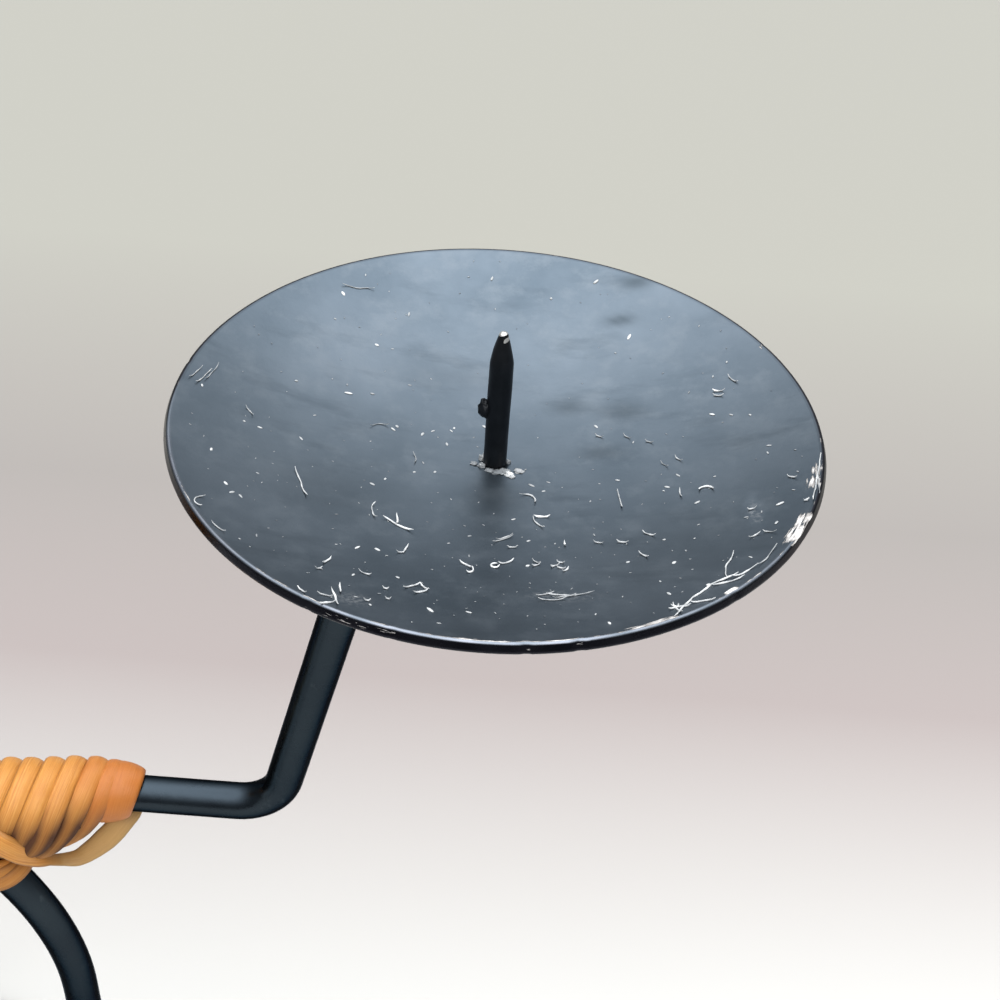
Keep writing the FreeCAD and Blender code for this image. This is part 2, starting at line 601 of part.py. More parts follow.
def lash_point(turn):
    """The turns that hold arm bar and side arch together, square to the line between them."""
    tilt = math.radians(place("lash_tilt"))
    radius = size("arch_radius")
    along = size("cane_pitch") * turn
    arm = Vector(place("crossing_reach") + along / math.cos(tilt), place("arm_offset"), size("arm_height"))
    rib_angle = tilt + math.asin(math.sin(tilt) + along / radius)
    rib = Vector(radius * math.sin(rib_angle), 0, place("arch_spring") + radius * math.cos(rib_angle))
    steepest = max(abs(rib_angle - tilt), tilt)
    reach = ((arm - rib).Length / 2 + place("rod_radius") / math.cos(steepest) + size("cane_gap")
             + size("cane_diameter") / 2)
    angle = 2 * math.pi * turn
    up = Vector(math.sin(tilt), 0, math.cos(tilt))
    front = Vector(0, -1, 0)
    return (arm + rib) * 0.5 + (up * math.cos(angle) + front * math.sin(angle)) * reach


def rib_binding_point(turn):
    """The short binding on the arch, just below the sleeve."""
    radius = size("arch_radius")
    from_middle = turn - size("rib_binding_turns") / 2
    angle = math.radians(place("binding_middle")) + size("binding_pitch") * from_middle / radius
    outward = Vector(math.sin(angle), 0, math.cos(angle))
    reach = place("rod_radius") + size("cane_gap") + size("binding_diameter") / 2
    spin = 2 * math.pi * turn
    rib = Vector(0, 0, place("arch_spring")) + outward * radius
    return rib + (outward * math.cos(spin) + Vector(0, -math.sin(spin), 0)) * reach


def neck_point(turn):
    """The binding on the neck, from the weld up to the head."""
    reach = place("rod_radius") + size("cane_gap") + size("binding_diameter") / 2
    start = place("neck_foot") + size("weld_width") + size("binding_diameter")
    angle = 2 * math.pi * turn
    height = start + size("binding_pitch") * turn
    return Vector(math.cos(angle) * reach, math.sin(angle) * reach, height)


def head_point(turn):
    """Cane wound round the ball from crown to neck."""
    reach = place("head_core_radius") + size("cane_gap") + size("cane_diameter") / 2
    crown = math.radians(size("head_crown_angle"))
    neck = math.pi - math.radians(size("head_neck_angle"))
    polar = crown + (neck - crown) * turn / size("head_turns")
    angle = 2 * math.pi * turn
    flat_reach = reach * math.sin(polar)
    return Vector(flat_reach * math.cos(angle), flat_reach * math.sin(angle),
                  place("head_centre") + reach * math.cos(polar))


def strand_point(share):
    """The loose end: down from under the sleeve's first turn, then inwards to the rib binding."""
    thin, gap = size("binding_diameter"), size("cane_gap")
    under_first_turn = sleeve_point(0.5)
    start = under_first_turn - Vector(0, 0, size("cane_diameter") / 2 + 2 * gap + thin)
    angle = math.radians(place("binding_middle"))
    outward = Vector(math.sin(angle), 0, math.cos(angle))
    face = place("rod_radius") + gap + thin
    clear = gap + thin / 2 * math.cos(angle)
    seat = Vector(0, 0, place("arch_spring")) + outward * (size("arch_radius") + face + clear)
    end = seat + Vector(thin, 0, 0)
    below = start - Vector(0, 0, size("strand_drop"))
    beside = end + Vector(size("strand_sweep"), 0, 0)
    left = 1 - share
    return (start * left ** 3 + below * (3 * left * left * share)
            + beside * (3 * left * share * share) + end * share ** 3)


def make_cane():
    """All windings: sleeves, shoulder lashes, rib bindings, loose strands, neck and head."""
    cane, thin = size("cane_diameter"), size("binding_diameter")
    pitch = size("cane_pitch")
    tilt = math.radians(place("lash_tilt"))
    sleeve_turns = (size("sleeve_length") - cane / math.cos(tilt)) / pitch
    pairs = (
        ("sleeve_cane", sleeve_point, 0.0, sleeve_turns, cane),
        ("shoulder_lash", lash_point, -size("lash_inner") / pitch, size("lash_outer") / pitch, cane),
        ("rib_binding", rib_binding_point, 0.0, size("rib_binding_turns"), thin),
        ("loose_strand", strand_point, 0.0, 1.0, thin),
    )
    for name, point_at, start, end, diameter in pairs:
        label = f"right_{name}"
        right = free_form(label, wound_strand(label, point_at, start, end, diameter))
        make_mirror(right, f"left_{name}")
    free_form("neck_binding", wound_strand("neck_binding", neck_point, 0.0, size("neck_turns"), thin))
    free_form("head_cane", wound_strand("head_cane", head_point, 0.0, size("head_turns"), cane))


def write_parts():
    """Check every object, then write each node to its own file."""
    doc.recompute()
    for item in doc.Objects:
        if "Invalid" in item.State or "Error" in item.State:
            raise RuntimeError(f"{item.Label} failed: {item.State}")
    os.makedirs("parts", exist_ok=True)
    for piece in nodes:
        if piece.Shape.isNull() or not piece.Shape.isValid():
            raise RuntimeError(f"{piece.Label} has no valid shape")
    for piece in nodes:
        piece.Shape.exportStep(f"parts/{piece.Label}.step")
        print(f"{piece.Label}: {len(piece.Shape.Solids)} solid, {piece.Shape.Volume:.0f} mm3")


make_base_ring()
make_arch("side_arch", "places.arch_spring", place("arch_spring"), 0)
make_arch("cross_arch", "places.cross_spring", place("cross_spring"), 90)
make_arm_bar()
for side_name, side_sign in (("right", 1), ("left", -1)):
    make_plate(side_name, side_sign)
    make_spike(side_name, side_sign)
    make_plate_weld(side_name, side_sign)
make_frame_welds()
make_head()
make_sleeve_core()
make_cane()
write_parts()
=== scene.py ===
# %% [markdown]
# # A candle holder shaped like a small figure
#
# The real object is a figure bent from black-painted iron bar: two crossing arches make its body, one bar
# makes both raised arms, and each hand is a dished plate with a spike for a candle. Split cane is wound
# round the shoulders, the neck and the head. The solids of the part are the fixed frame. This lesson
# dresses them: what is stiff is swept or turned to the same sizes, and what is wound is wound again here,
# strip by strip.

# %% Load the frame
import json
import math

import bmesh
import bpy
from mathutils import Matrix, Vector, noise

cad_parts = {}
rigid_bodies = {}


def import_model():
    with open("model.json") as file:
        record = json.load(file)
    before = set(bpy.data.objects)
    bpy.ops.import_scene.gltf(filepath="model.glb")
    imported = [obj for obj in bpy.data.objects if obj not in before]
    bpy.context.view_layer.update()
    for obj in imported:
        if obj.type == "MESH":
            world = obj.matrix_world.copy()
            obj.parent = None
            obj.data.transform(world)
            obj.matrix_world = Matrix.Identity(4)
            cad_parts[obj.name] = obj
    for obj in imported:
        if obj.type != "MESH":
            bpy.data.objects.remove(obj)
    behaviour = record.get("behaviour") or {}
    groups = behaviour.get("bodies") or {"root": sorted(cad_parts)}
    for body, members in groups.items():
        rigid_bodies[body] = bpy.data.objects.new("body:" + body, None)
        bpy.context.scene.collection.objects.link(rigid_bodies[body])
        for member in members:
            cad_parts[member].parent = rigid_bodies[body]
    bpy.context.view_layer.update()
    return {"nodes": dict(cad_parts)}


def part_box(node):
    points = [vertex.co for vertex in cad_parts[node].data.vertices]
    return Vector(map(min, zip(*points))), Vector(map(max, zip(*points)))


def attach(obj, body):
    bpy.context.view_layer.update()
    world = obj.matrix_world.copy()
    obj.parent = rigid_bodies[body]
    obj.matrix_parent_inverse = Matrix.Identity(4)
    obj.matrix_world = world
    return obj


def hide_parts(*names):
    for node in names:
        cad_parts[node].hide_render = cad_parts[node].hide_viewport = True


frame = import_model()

MM = 0.001
SIDES = {"right": 1.0, "left": -1.0}
print("solids in the frame:", len(frame["nodes"]))

# %% [markdown]
# ## Sizes
#
# Every size that the solids already hold is read from their boxes, so the dressing follows when a size
# changes. Only what the boxes can't tell, such as the thickness of the sheet, is written down here.

# %% Read the sizes
SHEET = 1.6 * MM


def middle_of(node):
    low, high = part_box(node)
    return (low + high) / 2


def half_width(node):
    low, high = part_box(node)
    return (high.x - low.x) / 2


def bar_top(bar):
    """Height of a bar's middle line where the bar is highest."""
    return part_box(bar)[1].z - ROD


plate_low, plate_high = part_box("right_plate")
RIM = Vector((*middle_of("right_plate").xy, plate_high.z))
PLATE_RADIUS = half_width("right_plate")
EDGE = SHEET / 2
DISH_REACH = PLATE_RADIUS - EDGE
DISH_DEPTH = plate_high.z - plate_low.z - SHEET
BOWL = (DISH_REACH ** 2 + DISH_DEPTH ** 2) / (2 * DISH_DEPTH)
ROD = half_width("neck_rod")
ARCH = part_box("side_arch")[1].x - ROD
SIDE_TOP = bar_top("side_arch")
CROSS_TOP = bar_top("cross_arch")
RING_Z = bar_top("base_ring")
RUN_Z = bar_top("arm_bar")
ARM_Y = middle_of("arm_bar").y
ARM_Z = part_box("arm_bar")[0].z + ROD
HEAD = middle_of("head_core")
HEAD_RADIUS = half_width("head_cane")
print("plate radius %.2f mm, dish depth %.2f mm, bar radius %.3f mm, arm at %.1f mm"
      % (PLATE_RADIUS / MM, DISH_DEPTH / MM, ROD / MM, ARM_Z / MM))

# %% [markdown]
# ## Camera
#
# The photograph looks down on the right plate from close by. The widths of the bar at several distances
# give the focal length, and the plate's ellipse gives the tilt and a small roll. The camera hangs from the
# plate, so it stays right when the figure gets taller.

# %% Hang the camera
TILT = math.radians(39.291)
ROLL = math.radians(4.355)
CAMERA_FROM_RIM = Vector((1.145, -166.19, 120.70)) * MM


def put(name, data):
    """A new object in the scene."""
    thing = bpy.data.objects.new(name, data)
    bpy.context.scene.collection.objects.link(thing)
    return thing


back = Vector((0, -math.cos(TILT), math.sin(TILT)))
right = Vector((1, 0, 0))
up = back.cross(right)
camera_x = right * math.cos(ROLL) + up * math.sin(ROLL)
camera_y = up * math.cos(ROLL) - right * math.sin(ROLL)
camera_data = bpy.data.cameras.new("photo_camera")
camera_data.lens = 54.0
camera_data.sensor_width = 36.0
camera_data.clip_start = 10 * MM
camera = put("photo_camera", camera_data)
view = Matrix((camera_x, camera_y, back)).transposed().to_4x4()
camera.matrix_world = Matrix.Translation(RIM + CAMERA_FROM_RIM) @ view
bpy.context.scene.camera = camera
print("camera at", [round(v / MM, 1) for v in camera.matrix_world.translation], "mm")

# %% [markdown]
# ## Finishes
#
# Materials, the room's light and the trees that grow shapes are all made of nodes. The first class below
# keeps their wiring short: each call adds one node, joins it to what feeds it and hands back its output. A
# finish is a material. Its patterns read Object coordinates in metres, so a noise of scale 50 has blotches
# of about 20 mm.

# %% A helper that wires nodes
def opaque(colour):
    """A colour with full alpha; a plain number is a grey."""
    return (*colour, 1.0) if isinstance(colour, tuple) else (colour, colour, colour, 1.0)


class Wiring:
    """Nodes under construction. A socket is fed by a value or by another node's output."""

    family = "ShaderNode"

    def __init__(self, tree):
        self.tree = tree
        self.nodes = tree.nodes

    def node(self, kind, wires=None, **settings):
        node = self.nodes.new(kind if "Node" in kind else self.family + kind)
        for label, value in settings.items():
            setattr(node, label, value)
        for label, value in (wires or {}).items():
            self.feed(node.inputs[label], value)
        return node

    def add(self, kind, wires=None, out=0, **settings):
        return self.node(kind, wires, **settings).outputs[out]

    def feed(self, socket, value):
        if isinstance(value, bpy.types.NodeSocket):
            self.tree.links.new(value, socket)
        else:
            socket.default_value = value

    def math(self, how, *values):
        return self.add("ShaderNodeMath", dict(enumerate(values)), operation=how)

    def times(self, first, second):
        return self.math("MULTIPLY", first, second)

    def plus(self, first, second):
        return self.math("ADD", first, second)

    def parts(self, vector):
        return self.node("ShaderNodeSeparateXYZ", {0: vector}).outputs

    def vector(self, **parts):
        return self.add("ShaderNodeCombineXYZ", parts)

    def ramp(self, value, *stops):
        node = self.node("ValToRGB", {"Fac": value})
        marks = node.color_ramp.elements
        while len(marks) < len(stops):
            marks.new(0.5)
        for mark, (position, colour) in zip(marks, stops):
            mark.position = position
            mark.color = opaque(colour)
        return node.outputs["Color"]

    def mix(self, share, *colours):
        first, second = (opaque(colour) if isinstance(colour, tuple) else colour for colour in colours)
        return self.add("Mix", {0: share, 6: first, 7: second}, out=2, data_type="RGBA")


# %% A helper that makes finishes
class Finish(Wiring):
    """A material under construction."""

    def __init__(self, name):
        self.material = bpy.data.materials.new(name)
        self.material.use_nodes = True
        super().__init__(self.material.node_tree)
        self.place = self.add("TexCoord", out="Object")

    def noise(self, scale, detail=3.0, roughness=0.5, place=None):
        wires = {"Vector": place or self.place, "Scale": scale, "Detail": detail, "Roughness": roughness}
        return self.add("TexNoise", wires)

    def stretched(self, scales, place=None, turn=0.0, shift=(0.0, 0.0, 0.0)):
        wires = {"Vector": place or self.place, "Scale": scales, "Location": shift,
                 "Rotation": (0.0, 0.0, turn)}
        return self.add("Mapping", wires)

    def spread(self, value, low, high):
        return self.add("MapRange", {"Value": value, "To Min": low, "To Max": high})

    def mark(self, label, out=2):
        """A number painted on the points of a mesh, or with out=1 a vector."""
        return self.add("Attribute", out=out, attribute_name=label)

    def close(self, colour, roughness, relief=None, depth=0.0, **others):
        sockets = {"Base Color": colour, "Roughness": roughness}
        if relief is not None:
            sockets["Normal"] = self.add("Bump", {"Height": relief, "Strength": 1.0, "Distance": depth})
        for label, value in others.items():
            sockets[label.replace("_", " ")] = value
        for label, value in sockets.items():
            self.feed(self.nodes["Principled BSDF"].inputs[label], value)
        print("finish:", self.material.name, len(self.nodes), "nodes")
        return self.material


# %% [markdown]
# The plates wear a blue-black paint so thin that it mirrors the room dimly, as blued steel does, and so it
# is built as a dark metal. It is cloudy and wiped dark in places. Marks painted on the plate's points say
# where the rest goes. One darkens smudges, and broad faint patches that are painted shade on the dish's
# sides; below zero it is dust. "edge" blackens the cut edge, a painted darkness that covers the corner too
# except on the near side, and above one it dulls the underside. Another mark makes the near side's corner
# brighter and glossier: a painted highlight. "wear" is a knock, which a noise stretched along the rim, by
# the vector "lie", breaks into streaks of chalky metal with crisp edges. Along the corner it draws a thin
# white line that is partly wear and partly a painted highlight.

# %% The plates' paint
def plate_finish(name, middle):
    paint = Finish(name)
    around = paint.stretched((1.0, 1.0, 1.0), shift=tuple(-v for v in middle))
    broad = paint.noise(45.0, 5.0, 0.6, around)
    cloudy = paint.noise(170.0, 6.0, 0.65, around)
    grain = paint.noise(1500.0, 3.0, 0.6, around)
    wiped = paint.noise(1.0, 4.0, 0.6, paint.stretched((70.0, 230.0, 70.0), around, turn=-0.6))
    base = paint.ramp(broad, (0.32, (0.070, 0.089, 0.108)), (0.68, (0.104, 0.125, 0.147)))
    base = paint.mix(paint.ramp(cloudy, (0.50, 0.0), (0.72, 0.55)), base, (0.135, 0.155, 0.175))
    base = paint.mix(paint.ramp(wiped, (0.56, 0.0), (0.74, 0.38)), base, (0.046, 0.060, 0.074))
    # Smudges darken, and broad faint patches of the same mark paint shade on the dish's sides; below zero,
    # dust.
    stain_and_shade = paint.mark("stain_and_shade")
    base = paint.mix(paint.times(stain_and_shade, paint.spread(wiped, 0.3, 1.5)), base, (0.022, 0.030, 0.036))
    dust = paint.times(stain_and_shade, paint.ramp(grain, (0.45, 0.0), (0.60, 1.0)))
    base = paint.mix(paint.times(dust, -1.0), base, (0.30, 0.31, 0.32))
    # Painted highlight: the near side's corner is made brighter here, and glossier below.
    corner_highlight = paint.mark("corner_highlight")
    base = paint.mix(corner_highlight, base, (0.165, 0.175, 0.20))
    # Painted darkness: the cut edge is made near-black, so it mirrors almost nothing.
    edge = paint.mark("edge")
    base = paint.mix(edge, base, (0.014, 0.014, 0.019))
    streak = paint.noise(1.0, 3.0, 0.6, paint.stretched((420.0, 3000.0, 1.0), paint.mark("lie", out=1)))
    worn = paint.plus(paint.mark("wear"), paint.times(paint.plus(streak, -0.5), 1.5))
    bare = paint.ramp(worn, (0.70, 0.0), (0.76, 1.0))
    chalk = paint.ramp(worn, (0.70, (0.12, 0.11, 0.105)), (0.88, (0.36, 0.335, 0.315)),
                       (1.0, (0.70, 0.67, 0.645)))
    base = paint.mix(bare, base, chalk)
    gloss = paint.plus(paint.spread(cloudy, 0.30, 0.50), paint.times(bare, 0.2))
    gloss = paint.plus(gloss, paint.times(corner_highlight, -0.22))
    underneath = paint.math("MAXIMUM", paint.plus(edge, -1.0), 0.0)
    gloss = paint.plus(gloss, paint.times(underneath, 0.5))
    relief = paint.plus(paint.times(grain, 0.35), bare)
    return paint.close(base, gloss, relief, 0.04 * MM, Metallic=paint.spread(bare, 0.96, 0.0))


PLATE_FINISH = {side: plate_finish("plate_paint_" + side, (RIM.x * sign, RIM.y, 0.0))
                for side, sign in SIDES.items()}

# %% [markdown]
# The bars carry the same paint in a satin coat, with fine ripples from the bending and a few rubbed spots.
# The spikes are darker and dirtier, and their points are rubbed bright.

# %% The bars' paint and the spikes' iron
def bar_finish():
    paint = Finish("bar_paint")
    broad = paint.noise(60.0, 4.0, 0.55)
    fine = paint.noise(700.0, 4.0, 0.6)
    base = paint.ramp(broad, (0.30, (0.022, 0.028, 0.035)), (0.72, (0.030, 0.039, 0.047)))
    rubbed = paint.ramp(paint.noise(160.0, 6.0, 0.72), (0.62, 0.0), (0.74, 0.6))
    base = paint.mix(rubbed, base, (0.060, 0.072, 0.082))
    gloss = paint.spread(paint.noise(240.0, 3.0), 0.20, 0.36)
    return paint.close(base, gloss, fine, 0.03 * MM, Metallic=0.97, Specular_Tint=(0.19, 0.22, 0.25, 1.0))


def spike_finish():
    iron = Finish("spike_iron_finish")
    soot = iron.noise(420.0, 5.0, 0.65)
    base = iron.ramp(soot, (0.35, (0.0015, 0.002, 0.003)), (0.75, (0.005, 0.006, 0.008)))
    facet = iron.times(iron.plus(iron.noise(1600.0, 2.0), -0.5), 0.7)
    bright = iron.ramp(iron.plus(iron.mark("wear"), facet), (0.46, 0.0), (0.56, 1.0))
    base = iron.mix(bright, base, (0.62, 0.60, 0.57))
    gloss = iron.spread(soot, 0.30, 0.55)
    shine = iron.times(bright, 0.9)
    return iron.close(base, gloss, soot, 0.06 * MM, Metallic=shine, Specular_IOR_Level=0.2)


BAR_FINISH = bar_finish()
SPIKE_FINISH = spike_finish()

# %% [markdown]
# Split cane has fibres that run along the strip, a waxy skin, and darker edges, partly dirt and partly
# painted shade where the turns meet. Each strip has a UV map whose first number is the length along it in
# metres and whose second runs from edge to edge, so the fibres follow every turn. The mark "tan" makes a
# strip redder, and below zero paler. A second mark darkens and dulls a strip, most of all at its edges; on
# the sleeves' undersides and the rib's lower turns this is painted shade.

# %% Cane, wood and wax
def cane_finish():
    cane = Finish("split_cane")
    lie = cane.add("UVMap", uv_map="UVMap")
    fibres = cane.noise(1.0, 4.0, 0.62, cane.stretched((110.0, 15.0, 1.0), lie))
    coarse = cane.noise(1.0, 2.0, 0.5, cane.stretched((45.0, 3.5, 1.0), lie))
    batch = cane.noise(210.0, 2.0)
    base = cane.ramp(fibres, (0.28, (0.33, 0.115, 0.017)), (0.50, (0.52, 0.212, 0.038)),
                     (0.74, (0.64, 0.325, 0.092)))
    base = cane.mix(cane.ramp(coarse, (0.42, 0.0), (0.70, 0.55)), base, (0.55, 0.245, 0.045))
    base = cane.mix(cane.ramp(batch, (0.52, 0.0), (0.72, 0.35)), base, (0.43, 0.150, 0.028))
    edge = cane.math("ABSOLUTE", cane.plus(cane.parts(lie)["Y"], -0.5))
    # Darker towards both edges of every strip: partly dirt, partly painted shade where the turns meet.
    base = cane.mix(cane.ramp(edge, (0.36, 0.0), (0.49, 0.65)), base, (0.15, 0.055, 0.014))
    tan = cane.mark("tan")
    base = cane.mix(cane.times(tan, 0.85), base, (0.42, 0.120, 0.018))
    base = cane.mix(cane.times(tan, -1.0), base, (0.43, 0.27, 0.105))
    # Painted shade, with some grime, from a mark on the points; darkest at the strip's edges.
    shade_and_grime = cane.mark("shade_and_grime")
    shade_and_dirt = cane.times(shade_and_grime, cane.ramp(edge, (0.08, 0.55), (0.34, 1.0)))
    base = cane.mix(shade_and_dirt, base, (0.065, 0.021, 0.006))
    gloss = cane.plus(cane.spread(fibres, 0.34, 0.56), cane.times(shade_and_grime, 0.35))
    return cane.close(base, gloss, fibres, 0.10 * MM, Specular_IOR_Level=0.35)


def core_finish():
    wood = Finish("core_wood_finish")
    rings = wood.noise(1.0, 4.0, 0.6, wood.stretched((300.0, 300.0, 40.0)))
    base = wood.ramp(rings, (0.30, (0.06, 0.027, 0.010)), (0.70, (0.12, 0.06, 0.025)))
    return wood.close(base, wood.spread(rings, 0.55, 0.75), rings, 0.1 * MM)


def wax_finish():
    wax = Finish("old_wax")
    cloud = wax.noise(900.0, 3.0)
    clean = wax.ramp(cloud, (0.30, (0.55, 0.55, 0.545)), (0.70, (0.85, 0.84, 0.82)))
    base = wax.mix(wax.mark("pale"), (0.075, 0.085, 0.095), clean)
    return wax.close(base, wax.spread(cloud, 0.30, 0.55), cloud, 0.05 * MM)


CANE_FINISH = cane_finish()
CORE_FINISH = core_finish()
WAX_FINISH = wax_finish()

# %% [markdown]
# ## Putting a piece in its place
#
# Every piece is a mesh in metres in the frame of the solids, with its object at the origin. It rides on the
# one body that the part has, and the solids it stands for are hidden. Litter that only lies on a plate
# stands for no solid.

# %% Helpers that make and seat a mesh
def seat(name, mesh, finish, slot, *nodes):
    mesh.materials.clear()
    mesh.materials.append(finish)
    mesh.polygons.foreach_set("use_smooth", [True] * len(mesh.polygons))
    piece = put(name, mesh)
    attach(piece, "root")
    if nodes:
        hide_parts(*nodes)
    print(f"{name}: {len(mesh.polygons)} faces")


def joined(name, *shells):
    """One mesh from several lists of points and faces."""
    points, faces = [], []
    for shell_points, shell_faces in shells:
        start = len(points)
        points += shell_points
        faces += [[start + corner for corner in face] for face in shell_faces]
    mesh = bpy.data.meshes.new(name)
    mesh.from_pydata(points, [], faces)
    work = bmesh.new()
    work.from_mesh(mesh)
    bmesh.ops.recalc_face_normals(work, faces=work.faces)
    work.to_mesh(mesh)
    work.free()
    return mesh


def paint_marks(mesh, **marks):
    """Writes numbers or vectors on the points of a mesh, one for each point."""
    for label, values in marks.items():
        if isinstance(values[0], Vector):
            data = mesh.attributes.new(label, "FLOAT_VECTOR", "POINT").data
            data.foreach_set("vector", [part for value in values for part in value])
        else:
            mesh.attributes.new(label, "FLOAT", "POINT").data.foreach_set("value", values)


# %% [markdown]
# ## The plates
#
# A plate is pressed sheet: one shallow bowl whose edge was cut square and then eased at both corners. It is
# turned here from its section, a closed loop of points that goes out along the upper face, round the edge
# and back along the lower face. Each point also says how far it lies past the start of the edge.

# %% The plate's section
HOLE = 1.25 * MM
EASED = 0.42 * MM
CUT_REACH = 0.56 * MM
CORNER = math.pi / 2 * EASED
CUT = 2 * (EDGE - EASED)
CORNER_STEPS = 9
FINE_RIM = 3 * MM


def bowl_height(reach, half=EDGE):
    """Height of the bowl against the rim's top; half is the way from the sheet's middle to the face."""
    return BOWL - EDGE - DISH_DEPTH - math.sqrt((BOWL - half) ** 2 - reach ** 2)


def face_row(reach, half, past):
    reach = reach * (BOWL - half) / BOWL
    return reach, bowl_height(reach, half), past


def plate_section():
    """Rows of reach, height and the way past the start of the edge."""
    inner = DISH_REACH - FINE_RIM
    upper = [HOLE + (inner - HOLE) * step / 40 for step in range(40)]
    upper += [inner + 2 * MM * step / 5 for step in range(5)]
    upper += [inner + 2 * MM + MM * step / 8 for step in range(9)]
    rows = [face_row(reach, EDGE, reach - DISH_REACH) for reach in upper]
    lean = math.asin(DISH_REACH / BOWL)
    along = Vector((math.cos(lean), math.sin(lean)))
    above = Vector((-along.y, along.x))
    for face in (1, -1):
        pivot = Vector((DISH_REACH, -EDGE)) + along * (CUT_REACH - EASED) + above * face * (EDGE - EASED)
        for step in range(CORNER_STEPS + 1):
            share = step / CORNER_STEPS if face == 1 else 1 - step / CORNER_STEPS
            turn = math.pi / 2 * share
            spot = pivot + (above * face * math.cos(turn) + along * math.sin(turn)) * EASED
            rows.append((*spot, CORNER * share if face == 1 else CORNER * (2 - share) + CUT))
        if face == 1:
            top = Vector(rows[-1][:2])
            rows += [(*(top - above * CUT * step / 4), CORNER + CUT * step / 4) for step in (1, 2, 3)]
    return rows + [face_row(reach, -EDGE, 2 * CORNER + CUT) for reach in reversed(upper[::2])]


PLATE_SECTION = plate_section()
print("plate section:", len(PLATE_SECTION), "rows")

# %% [markdown]
# Turning the plate by hand lets it carry its knocks and smudges. A knock pushes the rim in a little and
# marks it as worn: it has an angle and half a width in degrees, a depth, a strength, and where it starts
# and ends past the start of the edge. A smudge has its place on the dish, its length and width, and its
# strength, below zero for dust; the broad, faint ones that darken the dish towards its sides are painted
# shade. Both are set from the photograph, in millimetres. The left plate isn't in the picture, so it gets
# knocks of its own. The corner is also rubbed all the way round, most of all at one place on the near
# side; this thin white line is partly wear and partly a painted highlight.

# %% Knocks and smudges
KNOCKS = {
    "right": (
        (-26.5, 6, 0.04, 0.9, -2, 0.8), (-11, 5.5, 0.02, 0.72, -2.6, 0.5), (-47.5, 1.6, 0.08, 1.1, -0.6, 0.4),
        (-63, 5, 0, 0.9, -0.7, 0.3), (-75, 0.9, 0.18, 0.6, -0.3, 1.6), (-83, 0.9, 0.18, 0.6, -0.3, 1.6),
        (-90, 7, 0, 0.66, -0.5, 0.4), (-103, 0.8, 0.1, 0.62, 0.2, 1.7), (-109, 7, 0, 0.6, 0.1, 1.7),
        (-117, 0.9, 0.12, 0.62, 0.2, 1.7), (30, 0.8, 0.06, 0.7, -0.8, 0.4), (171, 1.4, 0.08, 0.6, -0.6, 0.4)),
    "left": (
        (12, 2, 0.15, 0.7, -0.8, 0.6), (68, 2.6, 0.18, 0.9, -1.4, 0.6), (141, 1.6, 0.1, 0.6, 0, 1.6),
        (188, 3.6, 0.2, 0.9, -1.8, 0.5), (236, 4, 0.15, 0.6, -0.6, 0.6), (301, 2.4, 0.15, 0.7, -0.8, 1.6)),
}
# The broad, faint entries darken the dish towards its sides: painted shade.
STAINS_AND_SHADE = (
    (20, 38, 2.6, 1.2, 0.8), (17.5, 31, 2.4, 1.0, 0.8), (18, 12, 3.5, 2.0, 0.5), (10, 13, 3.0, 1.6, 0.45),
    (15, 3, 3.5, 1.6, 0.45), (1, -8, 5.0, 3.5, 0.30), (-22, -12, 9, 6, 0.35), (-8, 18, 8, 3, 0.25),
    (25, -20, 11, 9, 0.28), (36, -2, 9, 14, 0.20), (-37, 0, 9, 16, 0.18), (-18, 0, 14, 10, 0.12),
    (34.4, -14, 0.7, 3.0, -0.9), (-15.2, -37.6, 1.6, 1.3, -0.9), (9.5, -31.5, 3.6, 1.0, -0.7))
WEAR_AND_HIGHLIGHT_AT, WEAR_AND_HIGHLIGHT_HALF = 283, 24
WEAR_REACH = 2.5 * MM


def ease(value):
    value = min(1.0, max(0.0, value))
    return value * value * (3 - 2 * value)


def spoke(angle):
    return Vector((math.cos(angle), math.sin(angle), 0))


def stain_and_shade_at(x, y):
    return min(1.0, sum(share * math.exp(-((x - at_x) / long) ** 2 - ((y - at_y) / wide) ** 2)
                        for at_x, at_y, long, wide, share in STAINS_AND_SHADE))


def knocked(angle, past, knocks, seed):
    """How worn the rim is at a place, with the corner's painted highlight, and how far it is pushed in."""
    if past <= -WEAR_REACH:
        return 0.0, 0.0
    worn, push = 0.0, 0.0
    for place, half, depth, strength, start, end in knocks:
        off = abs((angle - place + 180) % 360 - 180) / half
        if off < 1.6:
            spread = ease((past / MM - start) / (0.5 * (end - start))) * ease((end - past / MM) / 0.3)
            worn = max(worn, strength * ease(1.5 - off) * spread)
            push = max(push, depth * MM * ease(1 - off) * ease((past + EDGE) / EDGE))
    ray = spoke(math.radians(angle)) + Vector((0, 0, seed))
    # The corner's thin line is partly wear and partly a painted highlight, strongest on the near side.
    corner = 1 - min(1.0, abs(past - 0.12 * MM) / (0.28 * MM))
    rubbed = 0.22 * math.exp(-((angle - WEAR_AND_HIGHLIGHT_AT) / WEAR_AND_HIGHLIGHT_HALF) ** 2)
    rubbed += 0.52 + 0.35 * noise.noise(ray * 4) - 0.20 * ray.y
    return max(worn, corner * rubbed) if past < 1.5 * MM else 0.0, push


